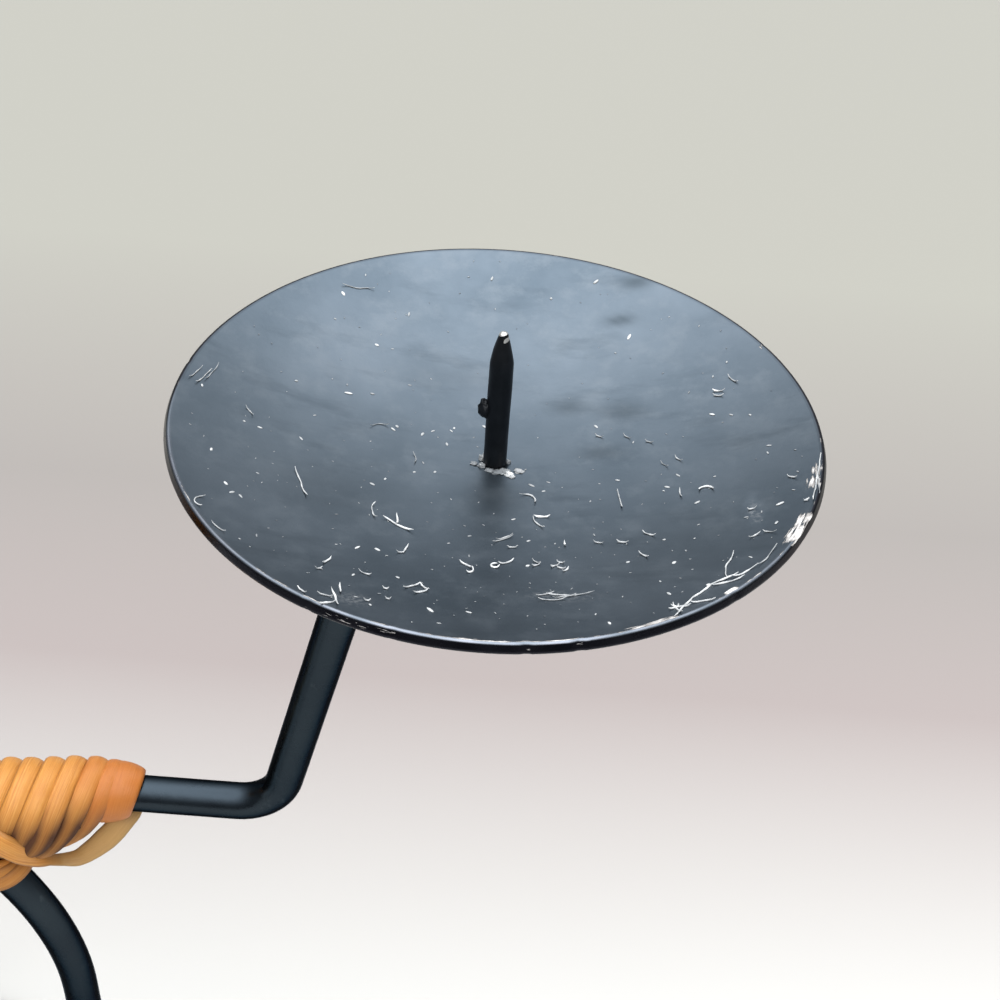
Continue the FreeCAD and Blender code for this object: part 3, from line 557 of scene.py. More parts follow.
# %% Turn the plates
PLATE_STEPS = 540
WARP = 0.12 * MM
rows = len(PLATE_SECTION)
for side, sign in SIDES.items():
    points, faces = [], []
    marks = {"wear": [], "stain_and_shade": [], "corner_highlight": [], "edge": [], "lie": []}
    for step in range(PLATE_STEPS):
        angle = 360 * step / PLATE_STEPS
        ray = spoke(math.radians(angle))
        sway = WARP * noise.noise(ray * 1.4 + Vector((0, 0, sign)))
        # Painted highlight on the near side's corner; elsewhere the edge's painted darkness covers the
        # corner.
        dull = ease((ray.y + 0.3 + 0.45 * max(0.0, ray.x)) / 0.4)
        bright = (1 - dull) * (0.72 + 0.8 * noise.noise(ray * 12))
        here, there = step * rows, (step + 1) % PLATE_STEPS * rows
        for row, (reach, height, past) in enumerate(PLATE_SECTION):
            worn, push = knocked(angle, past, KNOCKS[side], sign)
            spot = Vector((RIM.x * sign, RIM.y, RIM.z)) + ray * (reach - push)
            points.append(spot + Vector((0, 0, height + sway * (reach / PLATE_RADIUS) ** 2 - 0.3 * push)))
            following = (row + 1) % rows
            faces.append([here + row, here + following, there + following, there + row])
            marks["wear"].append(worn)
            marks["stain_and_shade"].append(stain_and_shade_at(ray.x * reach / MM * sign, ray.y * reach / MM))
            marks["corner_highlight"].append(bright * ease((past + 0.05 * MM) / (0.15 * MM)))
            # Painted darkness on the cut edge, which covers the corner too except on the near side.
            black = ease((past / MM - 0.42 + 0.50 * dull) / 0.24)
            marks["edge"].append(black + ease((past / MM - 1.7) / 0.3))
            marks["lie"].append(Vector((PLATE_RADIUS * math.radians((angle - 100) % 360), past, sign)))
    mesh = joined(side + "_plate_dish", (points, faces))
    paint_marks(mesh, **marks)
    seat(side + "_plate_dish", mesh, PLATE_FINISH[side], "painted_iron", side + "_plate")

# %% [markdown]
# ## The spikes
#
# A spike is a length of round wire with a blunt point, pushed through the plate. On one side it carries a
# small lump of slag. The point is rubbed bright by candles, so the upper rows of points are marked as worn.

# %% Helpers for turned shapes and lumps
DENT = 0.05 * MM


def turned(section, middle, steps, across, along, seed):
    """Points and faces turned from a section that starts and ends on its axis, with shallow dents."""
    points = [Vector((middle.x, middle.y, section[0][1]))]
    inner = section[1:-1]
    for step in range(steps):
        ray = spoke(2 * math.pi * step / steps)
        for reach, height in inner:
            dent = DENT * noise.noise(Vector((ray.x * across, ray.y * across, height * along + seed)))
            points.append(Vector((middle.x, middle.y, height)) + ray * (reach + dent))
    points.append(Vector((middle.x, middle.y, section[-1][1])))
    rows, last = len(inner), len(points) - 1
    faces = []
    for step in range(steps):
        here, there = 1 + step * rows, 1 + (step + 1) % steps * rows
        faces.append([0, there, here])
        faces += [[here + row, there + row, there + row + 1, here + row + 1] for row in range(rows - 1)]
        faces.append([here + rows - 1, there + rows - 1, last])
    return points, faces


def lump(middle, sizes, seed, depth):
    """Points and faces of a small uneven lump; its sizes are half its extents in millimetres."""
    ball = bmesh.new()
    bmesh.ops.create_icosphere(ball, subdivisions=3, radius=1.0)
    points = []
    for corner in ball.verts:
        swell = 1 + depth * noise.noise(corner.co * 1.7 + Vector((seed * 7.3, 0, seed)))
        points.append(middle + Vector([corner.co[axis] * sizes[axis] * MM * swell for axis in range(3)]))
    faces = [[corner.index for corner in face.verts] for face in ball.faces]
    ball.free()
    return points, faces


# %% Turn the spikes
SPIKE_STEPS, SHANK_STEPS, TAPER_STEPS = 40, 24, 30
SPIKE_RADIUS = half_width("right_spike")
DISH_FLOOR = RIM.z - DISH_DEPTH
PIN = 1.2 * MM
COLLAR = 1.45 * MM
SHANK_FOOT = DISH_FLOOR + 0.25 * MM
TIP_RADIUS = 0.62 * MM
TAPER = 4.8 * MM
SLAG_HEIGHT = 9.4 * MM
spike_low, spike_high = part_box("right_spike")


def spike_section():
    section = [(0.0, spike_low.z), (PIN, spike_low.z), (PIN, DISH_FLOOR - 0.05 * MM),
               (COLLAR, DISH_FLOOR + 0.02 * MM)]
    shank_top = spike_high.z - TAPER
    shank = shank_top - SHANK_FOOT
    section += [(SPIKE_RADIUS, SHANK_FOOT + shank * step / SHANK_STEPS) for step in range(SHANK_STEPS + 1)]
    for step in range(1, TAPER_STEPS + 1):
        share = step / TAPER_STEPS
        radius = SPIKE_RADIUS - (SPIKE_RADIUS - TIP_RADIUS) * share ** 1.25
        section.append((radius, shank_top + (TAPER - 0.3 * MM) * share))
    top = spike_high.z
    return section + [(TIP_RADIUS * 0.75, top - 0.08 * MM), (TIP_RADIUS * 0.3, top), (0.0, top)]


for side, sign in SIDES.items():
    middle = Vector((RIM.x * sign, RIM.y, 0))
    slag = middle + Vector((-sign * (SPIKE_RADIUS + 0.15 * MM), -0.3 * MM, DISH_FLOOR + SLAG_HEIGHT))
    mesh = joined(side + "_spike_body",
                  turned(spike_section(), middle, SPIKE_STEPS, across=1.5, along=380, seed=sign),
                  lump(slag, (0.95, 0.85, 1.35), 2.0 + sign, 0.45),
                  lump(slag + Vector((-0.25 * sign, 0.1, 0.9)) * MM, (0.6, 0.6, 0.7), 5.0 + sign, 0.6))
    shine = []
    for corner in mesh.vertices:
        below = (spike_high.z - corner.co.z) / MM
        aside = sign * (corner.co.x - middle.x) / MM
        cap = 1 - ease((below - 0.10 + 0.25 * aside) / 0.25)
        facet = ease(1.2 - abs(below - 0.95 + 0.3 * aside) / 0.42) * ease(aside / 0.4 + 0.3)
        shine.append(max(cap, facet) if below < 2 else 0.0)
    paint_marks(mesh, wear=shine)
    seat(side + "_spike_body", mesh, SPIKE_FINISH, "spike_iron", side + "_spike", side + "_spike_weld")

# %% [markdown]
# ## Growing pieces along paths
#
# Bars, welds, wax shavings and cane all follow a path. A Geometry Nodes tree does that work: the path is a
# mesh of edges, which the tree turns into a curve and gives a section. The helper below builds a tree with
# named sizes, and `grown` runs it once and keeps the result as a plain mesh.

# %% Helpers for Geometry Nodes
class Tree(Wiring):
    """A Geometry Nodes tree under construction."""

    family = "GeometryNode"

    def __init__(self, name, **sizes):
        super().__init__(bpy.data.node_groups.new(name, "GeometryNodeTree"))
        face = self.tree.interface
        face.new_socket("Geometry", in_out="INPUT", socket_type="NodeSocketGeometry")
        self.ids = {}
        for label, start in dict(sizes, Finish=None).items():
            kind = "Material" if start is None else "Int" if isinstance(start, int) else "Float"
            socket = face.new_socket(label, in_out="INPUT", socket_type="NodeSocket" + kind)
            if start is not None:
                socket.default_value = start
            self.ids[label] = socket.identifier
        face.new_socket("Geometry", in_out="OUTPUT", socket_type="NodeSocketGeometry")
        self.inputs = self.node("NodeGroupInput").outputs

    def named(self, label, kind="FLOAT"):
        return self.add("InputNamedAttribute", {"Name": label}, data_type=kind)

    def stored(self, shape, label, value, kind="FLOAT", domain="POINT"):
        wires = {"Geometry": shape, "Name": label, "Value": value}
        return self.add("StoreNamedAttribute", wires, data_type=kind, domain=domain)

    def random(self, low, high, seed):
        wires = {2: low, 3: high, "Seed": seed}
        return self.add("FunctionNodeRandomValue", wires, out=1, data_type="FLOAT")

    def curve(self, step=None):
        """The path as a curve, with points at even steps where a step is given."""
        curve = self.add("MeshToCurve", {"Mesh": self.inputs["Geometry"]})
        return self.add("ResampleCurve", {"Curve": curve, "Length": step}, mode="LENGTH") if step else curve

    def circle(self, corners):
        return self.add("CurvePrimitiveCircle", {"Resolution": corners, "Radius": self.inputs["Radius"]})

    def swept(self, curve, section, scale):
        wires = {"Curve": curve, "Profile Curve": section, "Scale": scale, "Fill Caps": True}
        return self.add("CurveToMesh", wires)

    def close(self, shape):
        shape = self.add("RealizeInstances", {"Geometry": shape})
        shape = self.add("SetMaterial", {"Geometry": shape, "Material": self.inputs["Finish"]})
        self.node("NodeGroupOutput", {"Geometry": shape})
        print("tree:", self.tree.name, len(self.nodes), "nodes")
        return self


def grown(tree, start, **sizes):
    """Runs a tree on a mesh and keeps what it makes as a plain mesh."""
    holder = put("growing", start)
    modifier = holder.modifiers.new("grow", "NODES")
    modifier.node_group = tree.tree
    for label, value in sizes.items():
        modifier[tree.ids[label]] = value
    mesh = bpy.data.meshes.new_from_object(holder.evaluated_get(bpy.context.evaluated_depsgraph_get()))
    holder.modifiers.remove(modifier)
    bpy.data.objects.remove(holder)
    return mesh


def path(lines, loop=False, **marks):
    """A mesh of edges along one or more lists of points, with a value of each mark at each point."""
    edges, start = [], 0
    for line in lines:
        edges += [(start + step, start + step + 1) for step in range(len(line) - 1)]
        if loop:
            edges.append((start + len(line) - 1, start))
        start += len(line)
    mesh = bpy.data.meshes.new("path")
    mesh.from_pydata([point for line in lines for point in line], edges, [])
    paint_marks(mesh, **marks)
    return mesh


# %% [markdown]
# ## Old wax
#
# Scraped candles leave wax on the dish: thin shavings that curl, crumbs, and a broken ring of lumps at the
# spike's foot. A shaving is a short path on the dish given by its start, its heading, its length, how far
# it curls and how white it is, in millimetres and degrees; a wire of wax is swept along it. The list
# follows the photograph. The left plate carries the same shavings, swung round to another side.

# %% List the shavings
SHAVINGS = (
    (-26.6, -9.0, -70, 6.4, 12, 0.75), (-35.8, -21.5, 205, 3.8, 150, 0.6), (-15.3, -13, 240, 3.8, 90, 0.7),
    (-14, -16, -34, 4.8, 5, 0.9), (-12.2, -17.2, 75, 2.4, 20, 0.8), (-11.4, -23.9, 25, 1.1, 0, 0.8),
    (-10.5, -23.5, 70, 1.7, 0, 0.95), (-19.9, -30.0, 68, 2.0, 0, 1.0), (-15.5, -30, -35, 1.8, 40, 0.7),
    (-9.7, -32.7, 40, 2.5, 0, 0.95), (-7.8, -31.1, -50, 1.7, 0, 0.9), (-6.7, -32.4, 219, 2.1, 0, 0.95),
    (-17.2, -34.4, -77, 2.3, 0, 0.9), (-18.0, -36.0, -66, 4.3, 0, 1.0), (-19.1, -40.6, 40, 2.6, 0, 0.9),
    (-19.4, -37.9, 3, 1.9, 0, 0.6), (-21.8, -37.5, -45, 1.6, 0, 0.9), (-12.2, -33.4, 0, 0.8, 0, 1.0),
    (-14.0, -37.3, 0, 0.8, 0, 0.7), (-11.6, -36.0, 0, 0.7, 0, 0.7), (-20.6, -31.6, 20, 0.9, 0, 0.7),
    (-3.4, -24.3, -32, 2.2, -12, 0.95), (-1.7, -25.6, -45, 1.7, -160, 0.9), (1.5, -24.4, 110, 2.9, 330, 0.9),
    (1.5, -23.9, 5, 2.3, 50, 0.8), (3.7, -7.2, 30, 3.8, -140, 0.8), (5.8, -12.1, 8, 2.2, 0, 1.0),
    (5.7, -12.3, -75, 3.0, 40, 0.8), (5.8, -22.7, -35, 1.3, 0, 0.7), (6.9, -23.5, 215, 1.3, 0, 0.7),
    (8.2, -24.3, 40, 1.3, -20, 0.9), (8.9, -22.9, -15, 1.1, 0, 0.7), (8.9, -24.3, -5, 1.2, -30, 0.8),
    (9.6, -25.3, 30, 1.2, 40, 0.95), (9.9, -18.0, -80, 1.0, 0, 1.0), (0.6, -18.9, 43, 3.2, -8, 0.55),
    (1.0, -18.2, 40, 2.6, 0, 0.5), (2.5, -19.8, 15, 1.4, 0, 0.6), (13.6, -18, -25, 1.5, 0, 0.6),
    (16.6, -18, -30, 1.6, 0, 0.7), (20, -16, -45, 2.0, 30, 0.8), (19.3, -21, -50, 1.8, 0, 0.7),
    (17, -6, -87, 4.2, 8, 0.6), (25.3, -6.6, -88, 1.9, 0, 0.7), (27.8, -7.4, 70, 3.0, -170, 1.0),
    (23, 0, -50, 1.6, 0, 0.5), (25, 1, -50, 1.6, 0, 0.5), (30.7, 14.4, -10, 1.8, 0, 0.8),
    (30.7, 13.5, -20, 1.6, 0, 0.7), (18, 6.7, -45, 1.5, 0, 0.4), (21, 5, -30, 1.3, 0, 0.5),
    (14, 6.8, -30, 1.3, 0, 0.4), (-18, 4.2, 60, 3.0, -80, 0.3), (-11.5, 0, -50, 2.4, -60, 0.35),
    (-35, 1.4, -45, 2.0, 0, 0.5), (-25.5, 31.8, 3, 5.0, 8, 0.45), (22.5, -38.2, 72, 13.2, -45, 1.0),
    (30.0, -29.2, 28, 4.0, 8, 0.8), (33.2, -27.2, 48, 5.2, 12, 0.5), (29.4, -29.2, 92, 6.4, -25, 0.85),
    (27.3, -30.8, 18, 4.4, 8, 0.75), (22.0, -36.0, 30, 2.6, -30, 0.9), (22.3, -35.0, -20, 2.4, 40, 0.9),
    (23.5, -37.0, 110, 2.6, 0, 0.85), (24.6, -34.6, 5, 3.0, 0, 0.8), (33.5, -13.3, 0, 1.2, 0, 0.6),
    (41.5, -14.1, 78, 10.4, 0, 0.8), (42.4, -13.0, 81, 6.2, 4, 0.55), (40.4, -13.5, 0, 0.7, 0, 1.0),
    (33.0, -20.1, 30, 1.7, 0, 0.9), (34.8, -19.1, -18, 1.7, 0, 0.5), (39.1, -7.1, -35, 1.4, 20, 0.95),
    (-43, 3.2, 70, 3.4, 0, 0.45), (-42, 2.6, 68, 4.2, 0, 0.5), (-41, 4, 75, 4.4, 0, 0.4),
    (6.6, -32.6, 2, 3.6, 10, 0.6), (6.4, -31.8, 28, 2.4, -30, 0.5), (7.6, -31.4, 4, 6.0, 0, 0.5),
    (8.4, -32.2, 20, 3.0, -20, 0.5), (-34, -27, -40, 2.5, 20, 0.5), (33, 17, -60, 2.2, 0, 0.5))
print("shavings on a plate:", len(SHAVINGS))

# %% Lay the shavings
SWING = {"right": 0.0, "left": math.radians(150)}


def on_dish(side, x, y, lift):
    """A place on the upper face of a plate; x and y run from the plate's middle."""
    reach = math.hypot(x, y)
    return Vector((RIM.x * SIDES[side] + x, RIM.y + y, RIM.z + bowl_height(reach) + lift))


def shaving_line(side, x, y, heading, length, curl):
    """Points along one shaving; its ends lift off the dish a little."""
    steps = 4 + int(abs(curl) / 18) + int(length)
    cosine, sine = math.cos(SWING[side]), math.sin(SWING[side])
    line = []
    x, y = x * MM, y * MM
    for step in range(steps + 1):
        share = step / steps
        lift = (0.10 + 0.35 * (2 * share - 1) ** 4) * MM
        line.append(on_dish(side, x * cosine - y * sine, x * sine + y * cosine, lift))
        way = math.radians(heading + curl * share + 22 * noise.noise(Vector((x, y, share * MM)) * 900))
        x += math.cos(way) * length / steps * MM
        y += math.sin(way) * length / steps * MM
    return line


def shaving_tree():
    tree = Tree("shaving", Radius=0.115 * MM)
    return tree.close(tree.swept(tree.curve(), tree.circle(6), tree.named("wide")))


SHAVING_TREE = shaving_tree()
for side in SIDES:
    lines, wide, pale = [], [], []
    for *shaving, white in SHAVINGS:
        line = shaving_line(side, *shaving)
        lines.append(line)
        for step, spot in enumerate(line):
            patch = noise.noise(spot * 1300)
            slender = (2 * step / (len(line) - 1) - 1) ** 4
            wide.append((0.35 + 0.8 * white * (1 - slender)) * (1 + 0.6 * patch))
            pale.append(white * (0.75 + 0.6 * patch))
    mesh = grown(SHAVING_TREE, path(lines, wide=wide, pale=pale), Finish=WAX_FINISH)
    seat(side + "_wax_shavings", mesh, WAX_FINISH, None)

# %% [markdown]
# Crumbs are scattered by a tree: points are thrown at a thin skin just above the dish, more of them on its
# near side, and each gets a squashed ball of its own size and whiteness.

# %% Scatter the crumbs
SKIN_RINGS, SKIN_STEPS = 14, 48


def crumb_tree():
    tree = Tree("crumbs", Density=90000.0, Small=0.06, Large=0.24, Seed=11)
    small, large, seed = (tree.inputs[label] for label in ("Small", "Large", "Seed"))
    density = tree.times(tree.inputs["Density"], tree.named("chance"))
    wires = {"Mesh": tree.inputs["Geometry"], "Density": density, "Seed": seed}
    spots = tree.node("DistributePointsOnFaces", wires).outputs
    crumb = tree.add("MeshIcoSphere", {"Radius": 1.0 * MM, "Subdivisions": 2})
    luck = tree.math("POWER", tree.random(0.0, 1.0, seed), 5.0)
    size = tree.plus(small, tree.times(luck, tree.math("SUBTRACT", large, small)))
    squash = tree.vector(X=tree.times(size, tree.random(1.3, 3.2, 5)), Y=size, Z=tree.times(size, 0.5))
    wires = {"Rotation": spots["Rotation"], "Rotate By": tree.vector(Z=tree.random(0.0, 6.28, 7))}
    spin = tree.add("FunctionNodeRotateRotation", wires, rotation_space="LOCAL")
    wires = {"Points": spots["Points"], "Instance": crumb, "Rotation": spin, "Scale": squash}
    crumbs = tree.add("InstanceOnPoints", wires)
    pale = tree.plus(tree.random(0.0, 0.32, 9), tree.times(luck, 0.55))
    return tree.close(tree.stored(crumbs, "pale", pale, domain="INSTANCE"))


def dish_skin(side):
    """A sheet on the dish that carries the chance of a crumb at each of its points."""
    points, chance, faces = [], [], []
    for ring in range(SKIN_RINGS + 1):
        reach = 3 * MM + (DISH_REACH - 5 * MM) * ring / SKIN_RINGS
        for step in range(SKIN_STEPS):
            angle = 2 * math.pi * step / SKIN_STEPS
            x, y = reach * math.cos(angle), reach * math.sin(angle)
            points.append(on_dish(side, x, y, 0.02 * MM))
            chance.append(0.35 + 0.65 * ease(0.5 - y / (50 * MM)))
            if ring < SKIN_RINGS:
                here = ring * SKIN_STEPS + step
                there = ring * SKIN_STEPS + (step + 1) % SKIN_STEPS
                faces.append([here, here + SKIN_STEPS, there + SKIN_STEPS, there])
    mesh = joined("dish_skin", (points, faces))
    paint_marks(mesh, chance=chance)
    return mesh


CRUMB_TREE = crumb_tree()
for side, seed in (("right", 11), ("left", 23)):
    mesh = grown(CRUMB_TREE, dish_skin(side), Seed=seed, Finish=WAX_FINISH)
    seat(side + "_wax_crumbs", mesh, WAX_FINISH, None)

# %% [markdown]
# The lumps round the spike's foot are few and each is different, so they are shaped one by one. A lump has
# its place on the dish, half its breadth and height in millimetres, and its whiteness.

# %% Press wax round the spikes
FOOT_LUMPS = (
    (1.5, -1.9, 0.8, 0.22, 0.20), (2.1, -2.5, 0.6, 0.45, 0.9), (2.6, -3.0, 0.35, 0.3, 0.6),
    (3.5, -1.6, 0.7, 0.18, 0.35), (0.5, -2.1, 0.7, 0.18, 0.12), (-0.7, -1.8, 0.6, 0.20, 0.14),
    (-1.8, -1.0, 0.5, 0.45, 0.28), (-2.9, -0.6, 0.5, 0.18, 0.16), (-1.9, 0.5, 0.35, 0.8, 0.35),
    (1.9, 0.2, 0.35, 0.5, 0.20), (0.4, 1.9, 0.8, 0.25, 0.4), (-1.2, 1.7, 0.6, 0.25, 0.5))
for side, sign in SIDES.items():
    shells, pale = [], []
    for count, (x, y, broad, tall, white) in enumerate(FOOT_LUMPS):
        foot = on_dish(side, x * sign * MM, y * MM, 0.1 * MM)
        shells.append(lump(foot, (broad, 0.75 * broad, tall), count + sign, 0.7))
        pale += [white] * len(shells[-1][0])
    mesh = joined(side + "_wax_lumps", *shells)
    paint_marks(mesh, pale=pale)
    seat(side + "_wax_lumps", mesh, WAX_FINISH, None)

# %% [markdown]
# ## The bars
#
# A bar is a circle swept along its middle line. Real bar isn't perfectly even: the tree pushes the surface
# in and out by a few hundredths of a millimetre, and draws the ends in a little where they were cut and
# filed. The base ring is filed flat underneath, so the tree has a lowest height that no point may pass.

# %% The bar tree
def bar_tree():
    tree = Tree("bar", Radius=3.175 * MM, Step=1.2 * MM, Ripple=0.04 * MM, Drawn_in=0.15, Lowest=-1.0)
    line = tree.curve(tree.inputs["Step"])
    share = tree.add("SplineParameter", out="Factor")
    to_end = tree.math("MINIMUM", share, tree.math("SUBTRACT", 1.0, share))
    near_end = tree.math("LESS_THAN", to_end, 0.0005)
    girth = tree.math("SUBTRACT", 1.0, tree.times(near_end, tree.inputs["Drawn_in"]))
    bar = tree.swept(line, tree.circle(36), girth)
    wave = tree.add("ShaderNodeTexNoise", {"Scale": 160.0, "Detail": 2.0})
    wave = tree.times(tree.plus(wave, -0.5), tree.inputs["Ripple"])
    push = tree.add("ShaderNodeVectorMath", {0: tree.add("InputNormal"), "Scale": wave}, operation="SCALE")
    bar = tree.add("SetPosition", {"Geometry": bar, "Offset": push})
    spot = tree.parts(tree.add("InputPosition"))
    lifted = tree.math("MAXIMUM", spot["Z"], tree.inputs["Lowest"])
    kept = tree.vector(X=spot["X"], Y=spot["Y"], Z=lifted)
    return tree.close(tree.add("SetPosition", {"Geometry": bar, "Position": kept}))


BAR_TREE = bar_tree()

# %% [markdown]
# The middle lines are those of the solids: two half circles on straight legs, the ring, the neck, and the
# arm bar with its four bends. A bend is drawn by cutting the corner with an arc that touches both straight
# runs.

# %% Bend the bars
BEND = 8.8 * MM
ELBOW_X = 106.5 * MM
STEM_LEAN = math.radians(13.7)
ARCH_STEPS, BEND_STEPS = 90, 10


def arch_line(bar):
    foot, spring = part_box(bar)[0].z, bar_top(bar) - ARCH
    line = [(ARCH, foot)]
    for step in range(ARCH_STEPS + 1):
        angle = math.pi * step / ARCH_STEPS
        line.append((ARCH * math.cos(angle), spring + ARCH * math.sin(angle)))
    line.append((-ARCH, foot))
    return [Vector((0, aside, z) if bar == "cross_arch" else (aside, 0, z)) for aside, z in line]


def bent(corners, radius):
    """A line through corners, each one rounded by an arc."""
    line = [corners[0]]
    for before, corner, after in zip(corners, corners[1:], corners[2:]):
        into, out = (corner - before).normalized(), (after - corner).normalized()
        turn = into.angle(out)
        centre = corner + (out - into).normalized() * (radius / math.cos(turn / 2))
        start = corner - into * radius * math.tan(turn / 2) - centre
        axis = into.cross(out).normalized()
        line += [centre + Matrix.Rotation(turn * step / BEND_STEPS, 3, axis) @ start
                 for step in range(BEND_STEPS + 1)]
    return line + [corners[-1]]


lean = math.tan(STEM_LEAN) * (RUN_Z - ARM_Z)
arm_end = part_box("arm_bar")[1].x
right_arm = bent([Vector((x, ARM_Y, z)) for x, z in (
    (0, ARM_Z), (ELBOW_X, ARM_Z), (ELBOW_X + lean, RUN_Z), (arm_end, RUN_Z))], BEND)
BARS = {
    "side_arch": arch_line("side_arch"),
    "cross_arch": arch_line("cross_arch"),
    "arm_bar": [Vector((-p.x, p.y, p.z)) for p in reversed(right_arm[1:])] + right_arm,
    "neck_rod": [Vector((0, 0, corner.z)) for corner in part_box("neck_rod")],
    "base_ring": [spoke(math.radians(angle)) * ARCH + Vector((0, 0, RING_Z)) for angle in range(0, 360, 3)],
}
for node, line in BARS.items():
    closed = node == "base_ring"
    mesh = grown(BAR_TREE, path([line], closed), Radius=ROD, Drawn_in=0.0 if closed else 0.15,
                 Lowest=0.0 if closed else -1.0, Finish=BAR_FINISH)
    seat(node + "_bar", mesh, BAR_FINISH, "painted_iron", node)

# %% [markdown]
# ## The welds
#
# A weld bead is a row of small overlapping puddles. The tree sets a ball of uneven size every millimetre or
# so along the seam and melts them together as a volume, so the bead has ripples but one skin.

# %% The weld tree
def weld_tree():
    tree = Tree("weld", Bead=1.3 * MM, Step=1.0 * MM, Voxel=0.22 * MM, Seed=4)
    voxel = tree.inputs["Voxel"]
    drops = tree.add("CurveToPoints", {"Curve": tree.curve(tree.inputs["Step"])}, mode="EVALUATED")
    puddle = tree.add("MeshIcoSphere", {"Radius": tree.inputs["Bead"], "Subdivisions": 2})
    uneven = tree.random(0.82, 1.12, tree.inputs["Seed"])
    drops = tree.add("InstanceOnPoints", {"Points": drops, "Instance": puddle, "Scale": uneven})
    drops = tree.add("RealizeInstances", {"Geometry": drops})
    melt = tree.add("MeshToVolume", {"Mesh": drops, "Voxel Size": voxel, "Interior Band Width": 2 * MM},
                    resolution_mode="VOXEL_SIZE")
    return tree.close(tree.add("VolumeToMesh", {"Volume": melt, "Voxel Size": voxel, "Threshold": 0.1},
                               resolution_mode="VOXEL_SIZE"))


WELD_TREE = weld_tree()

# %% Lay the welds
BEAD = 1.35 * MM
SEAM_STEPS = 48
SADDLE_REACH = ROD + 0.35 * MM
APEX_REACH = 2.6 * MM
PLATE_SEAM = Vector((1.2, 2.3, 2.6)) * MM


def saddle(middle, height, along_x=False):
    """The seam where an upright bar stands on a lying one."""
    line = []
    for step in range(SEAM_STEPS):
        ray = spoke(2 * math.pi * step / SEAM_STEPS)
        rise = abs(ray.x if along_x else ray.y)
        line.append(middle + ray * SADDLE_REACH + Vector((0, 0, height + ROD * rise)))
    return line


apex = Vector((0, 0, (SIDE_TOP + CROSS_TOP) / 2))
ring_feet = (((ARCH, 0, 0), False), ((-ARCH, 0, 0), False), ((0, ARCH, 0), True), ((0, -ARCH, 0), True))
WELDS = {
    "ring_welds": [saddle(Vector(foot), RING_Z, along_x) for foot, along_x in ring_feet],
    "apex_weld": [[apex + spoke(2 * math.pi * step / SEAM_STEPS) * APEX_REACH for step in range(SEAM_STEPS)]],
    "neck_weld": [saddle(Vector(), CROSS_TOP)],
}
for side in SIDES:
    low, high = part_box(side + "_plate_weld")
    along = (low.x + PLATE_SEAM.x, (low.x + high.x) / 2, high.x - PLATE_SEAM.x)
    WELDS[side + "_plate_weld"] = [
        [Vector((x, ARM_Y + front * PLATE_SEAM.y, RUN_Z + PLATE_SEAM.z)) for x in along]
        for front in (-1, 1)]
for node, seams in WELDS.items():
    mesh = grown(WELD_TREE, path(seams, "plate" not in node), Bead=BEAD, Finish=BAR_FINISH)
    seat(node + "_bead", mesh, BAR_FINISH, "painted_iron", node)

# %% [markdown]
# ## Cane strips
#
# All the windings are one material in one form: a flat strip, slightly domed on its outer face. The path
# carries a vector "out" that says which way the domed face looks, a width, and how tanned and grimy the
# strip is there. The tree gives the curve that normal, sweeps a rounded section along it and stores a UV
# map for the fibres. Strips are laid for the right side, and the left side's are mirrored.

# %% The cane tree
def cane_tree():
    tree = Tree("cane", Width=3.0 * MM, Thickness=0.8 * MM, Crown=0.25 * MM, Start=0.0)
    width, thickness = tree.inputs["Width"], tree.inputs["Thickness"]
    wires = {"Curve": tree.curve(), "Normal": tree.named("out", "FLOAT_VECTOR")}
    lay = tree.add("SetCurveNormal", wires, mode="FREE")
    run = tree.add("SplineParameter", out="Length")
    lay = tree.stored(lay, "along", tree.plus(run, tree.inputs["Start"]))
    flat = tree.add("CurvePrimitiveQuadrilateral", {"Width": thickness, "Height": width})
    wires = {"Curve": flat, "Count": 3, "Limit Radius": True, "Radius": tree.times(thickness, 0.42)}
    flat = tree.add("FilletCurve", wires, mode="POLY")
    flat = tree.add("ResampleCurve", {"Curve": flat, "Count": 28}, mode="COUNT")
    share = tree.math("DIVIDE", tree.parts(tree.add("InputPosition"))["Y"], width)
    flat = tree.stored(flat, "across", tree.plus(share, 0.5))
    sunk = tree.times(tree.times(tree.times(share, share), -4.0), tree.inputs["Crown"])
    flat = tree.add("SetPosition", {"Geometry": flat, "Offset": tree.vector(X=sunk)})
    strip = tree.swept(lay, flat, tree.named("wide"))
    lie = tree.vector(X=tree.named("along"), Y=tree.named("across"))
    return tree.close(tree.stored(strip, "UVMap", lie, "FLOAT2", "CORNER"))


CANE_TREE = cane_tree()

# %% Helpers for winding
STRIP_MARKS = ("out", "wide", "tan", "shade_and_grime")


def wound(name, strip, sizes, *nodes, sign=1.0):
    """Sweeps a strip of (point, out, wide, tan, shade and grime); sizes are its width, thickness and crown.
    """
    points, outs, *others = zip(*strip)
    points, outs = ([Vector((sign * v.x, v.y, v.z)) for v in vectors] for vectors in (points, outs))
    lines = path([points], **dict(zip(STRIP_MARKS, (outs, *others))))
    width, thickness, crown = (size * MM for size in sizes)
    mesh = grown(CANE_TREE, lines, Width=width, Thickness=thickness, Crown=crown, Start=len(name) * 0.013,
                 Finish=CANE_FINISH)
    seat(name, mesh, CANE_FINISH, "cane", *nodes)


def between(value, *stops):
    """A value read off a line through (place, value) pairs."""
    for (x0, y0), (x1, y1) in zip(stops, stops[1:]):
        if value <= x1:
            return y0 + (y1 - y0) * max(0.0, value - x0) / (x1 - x0)
    return stops[-1][1]


def waver(place, seed, depth):
    return depth * noise.noise(Vector((place, seed * 3.7, 1.3)))


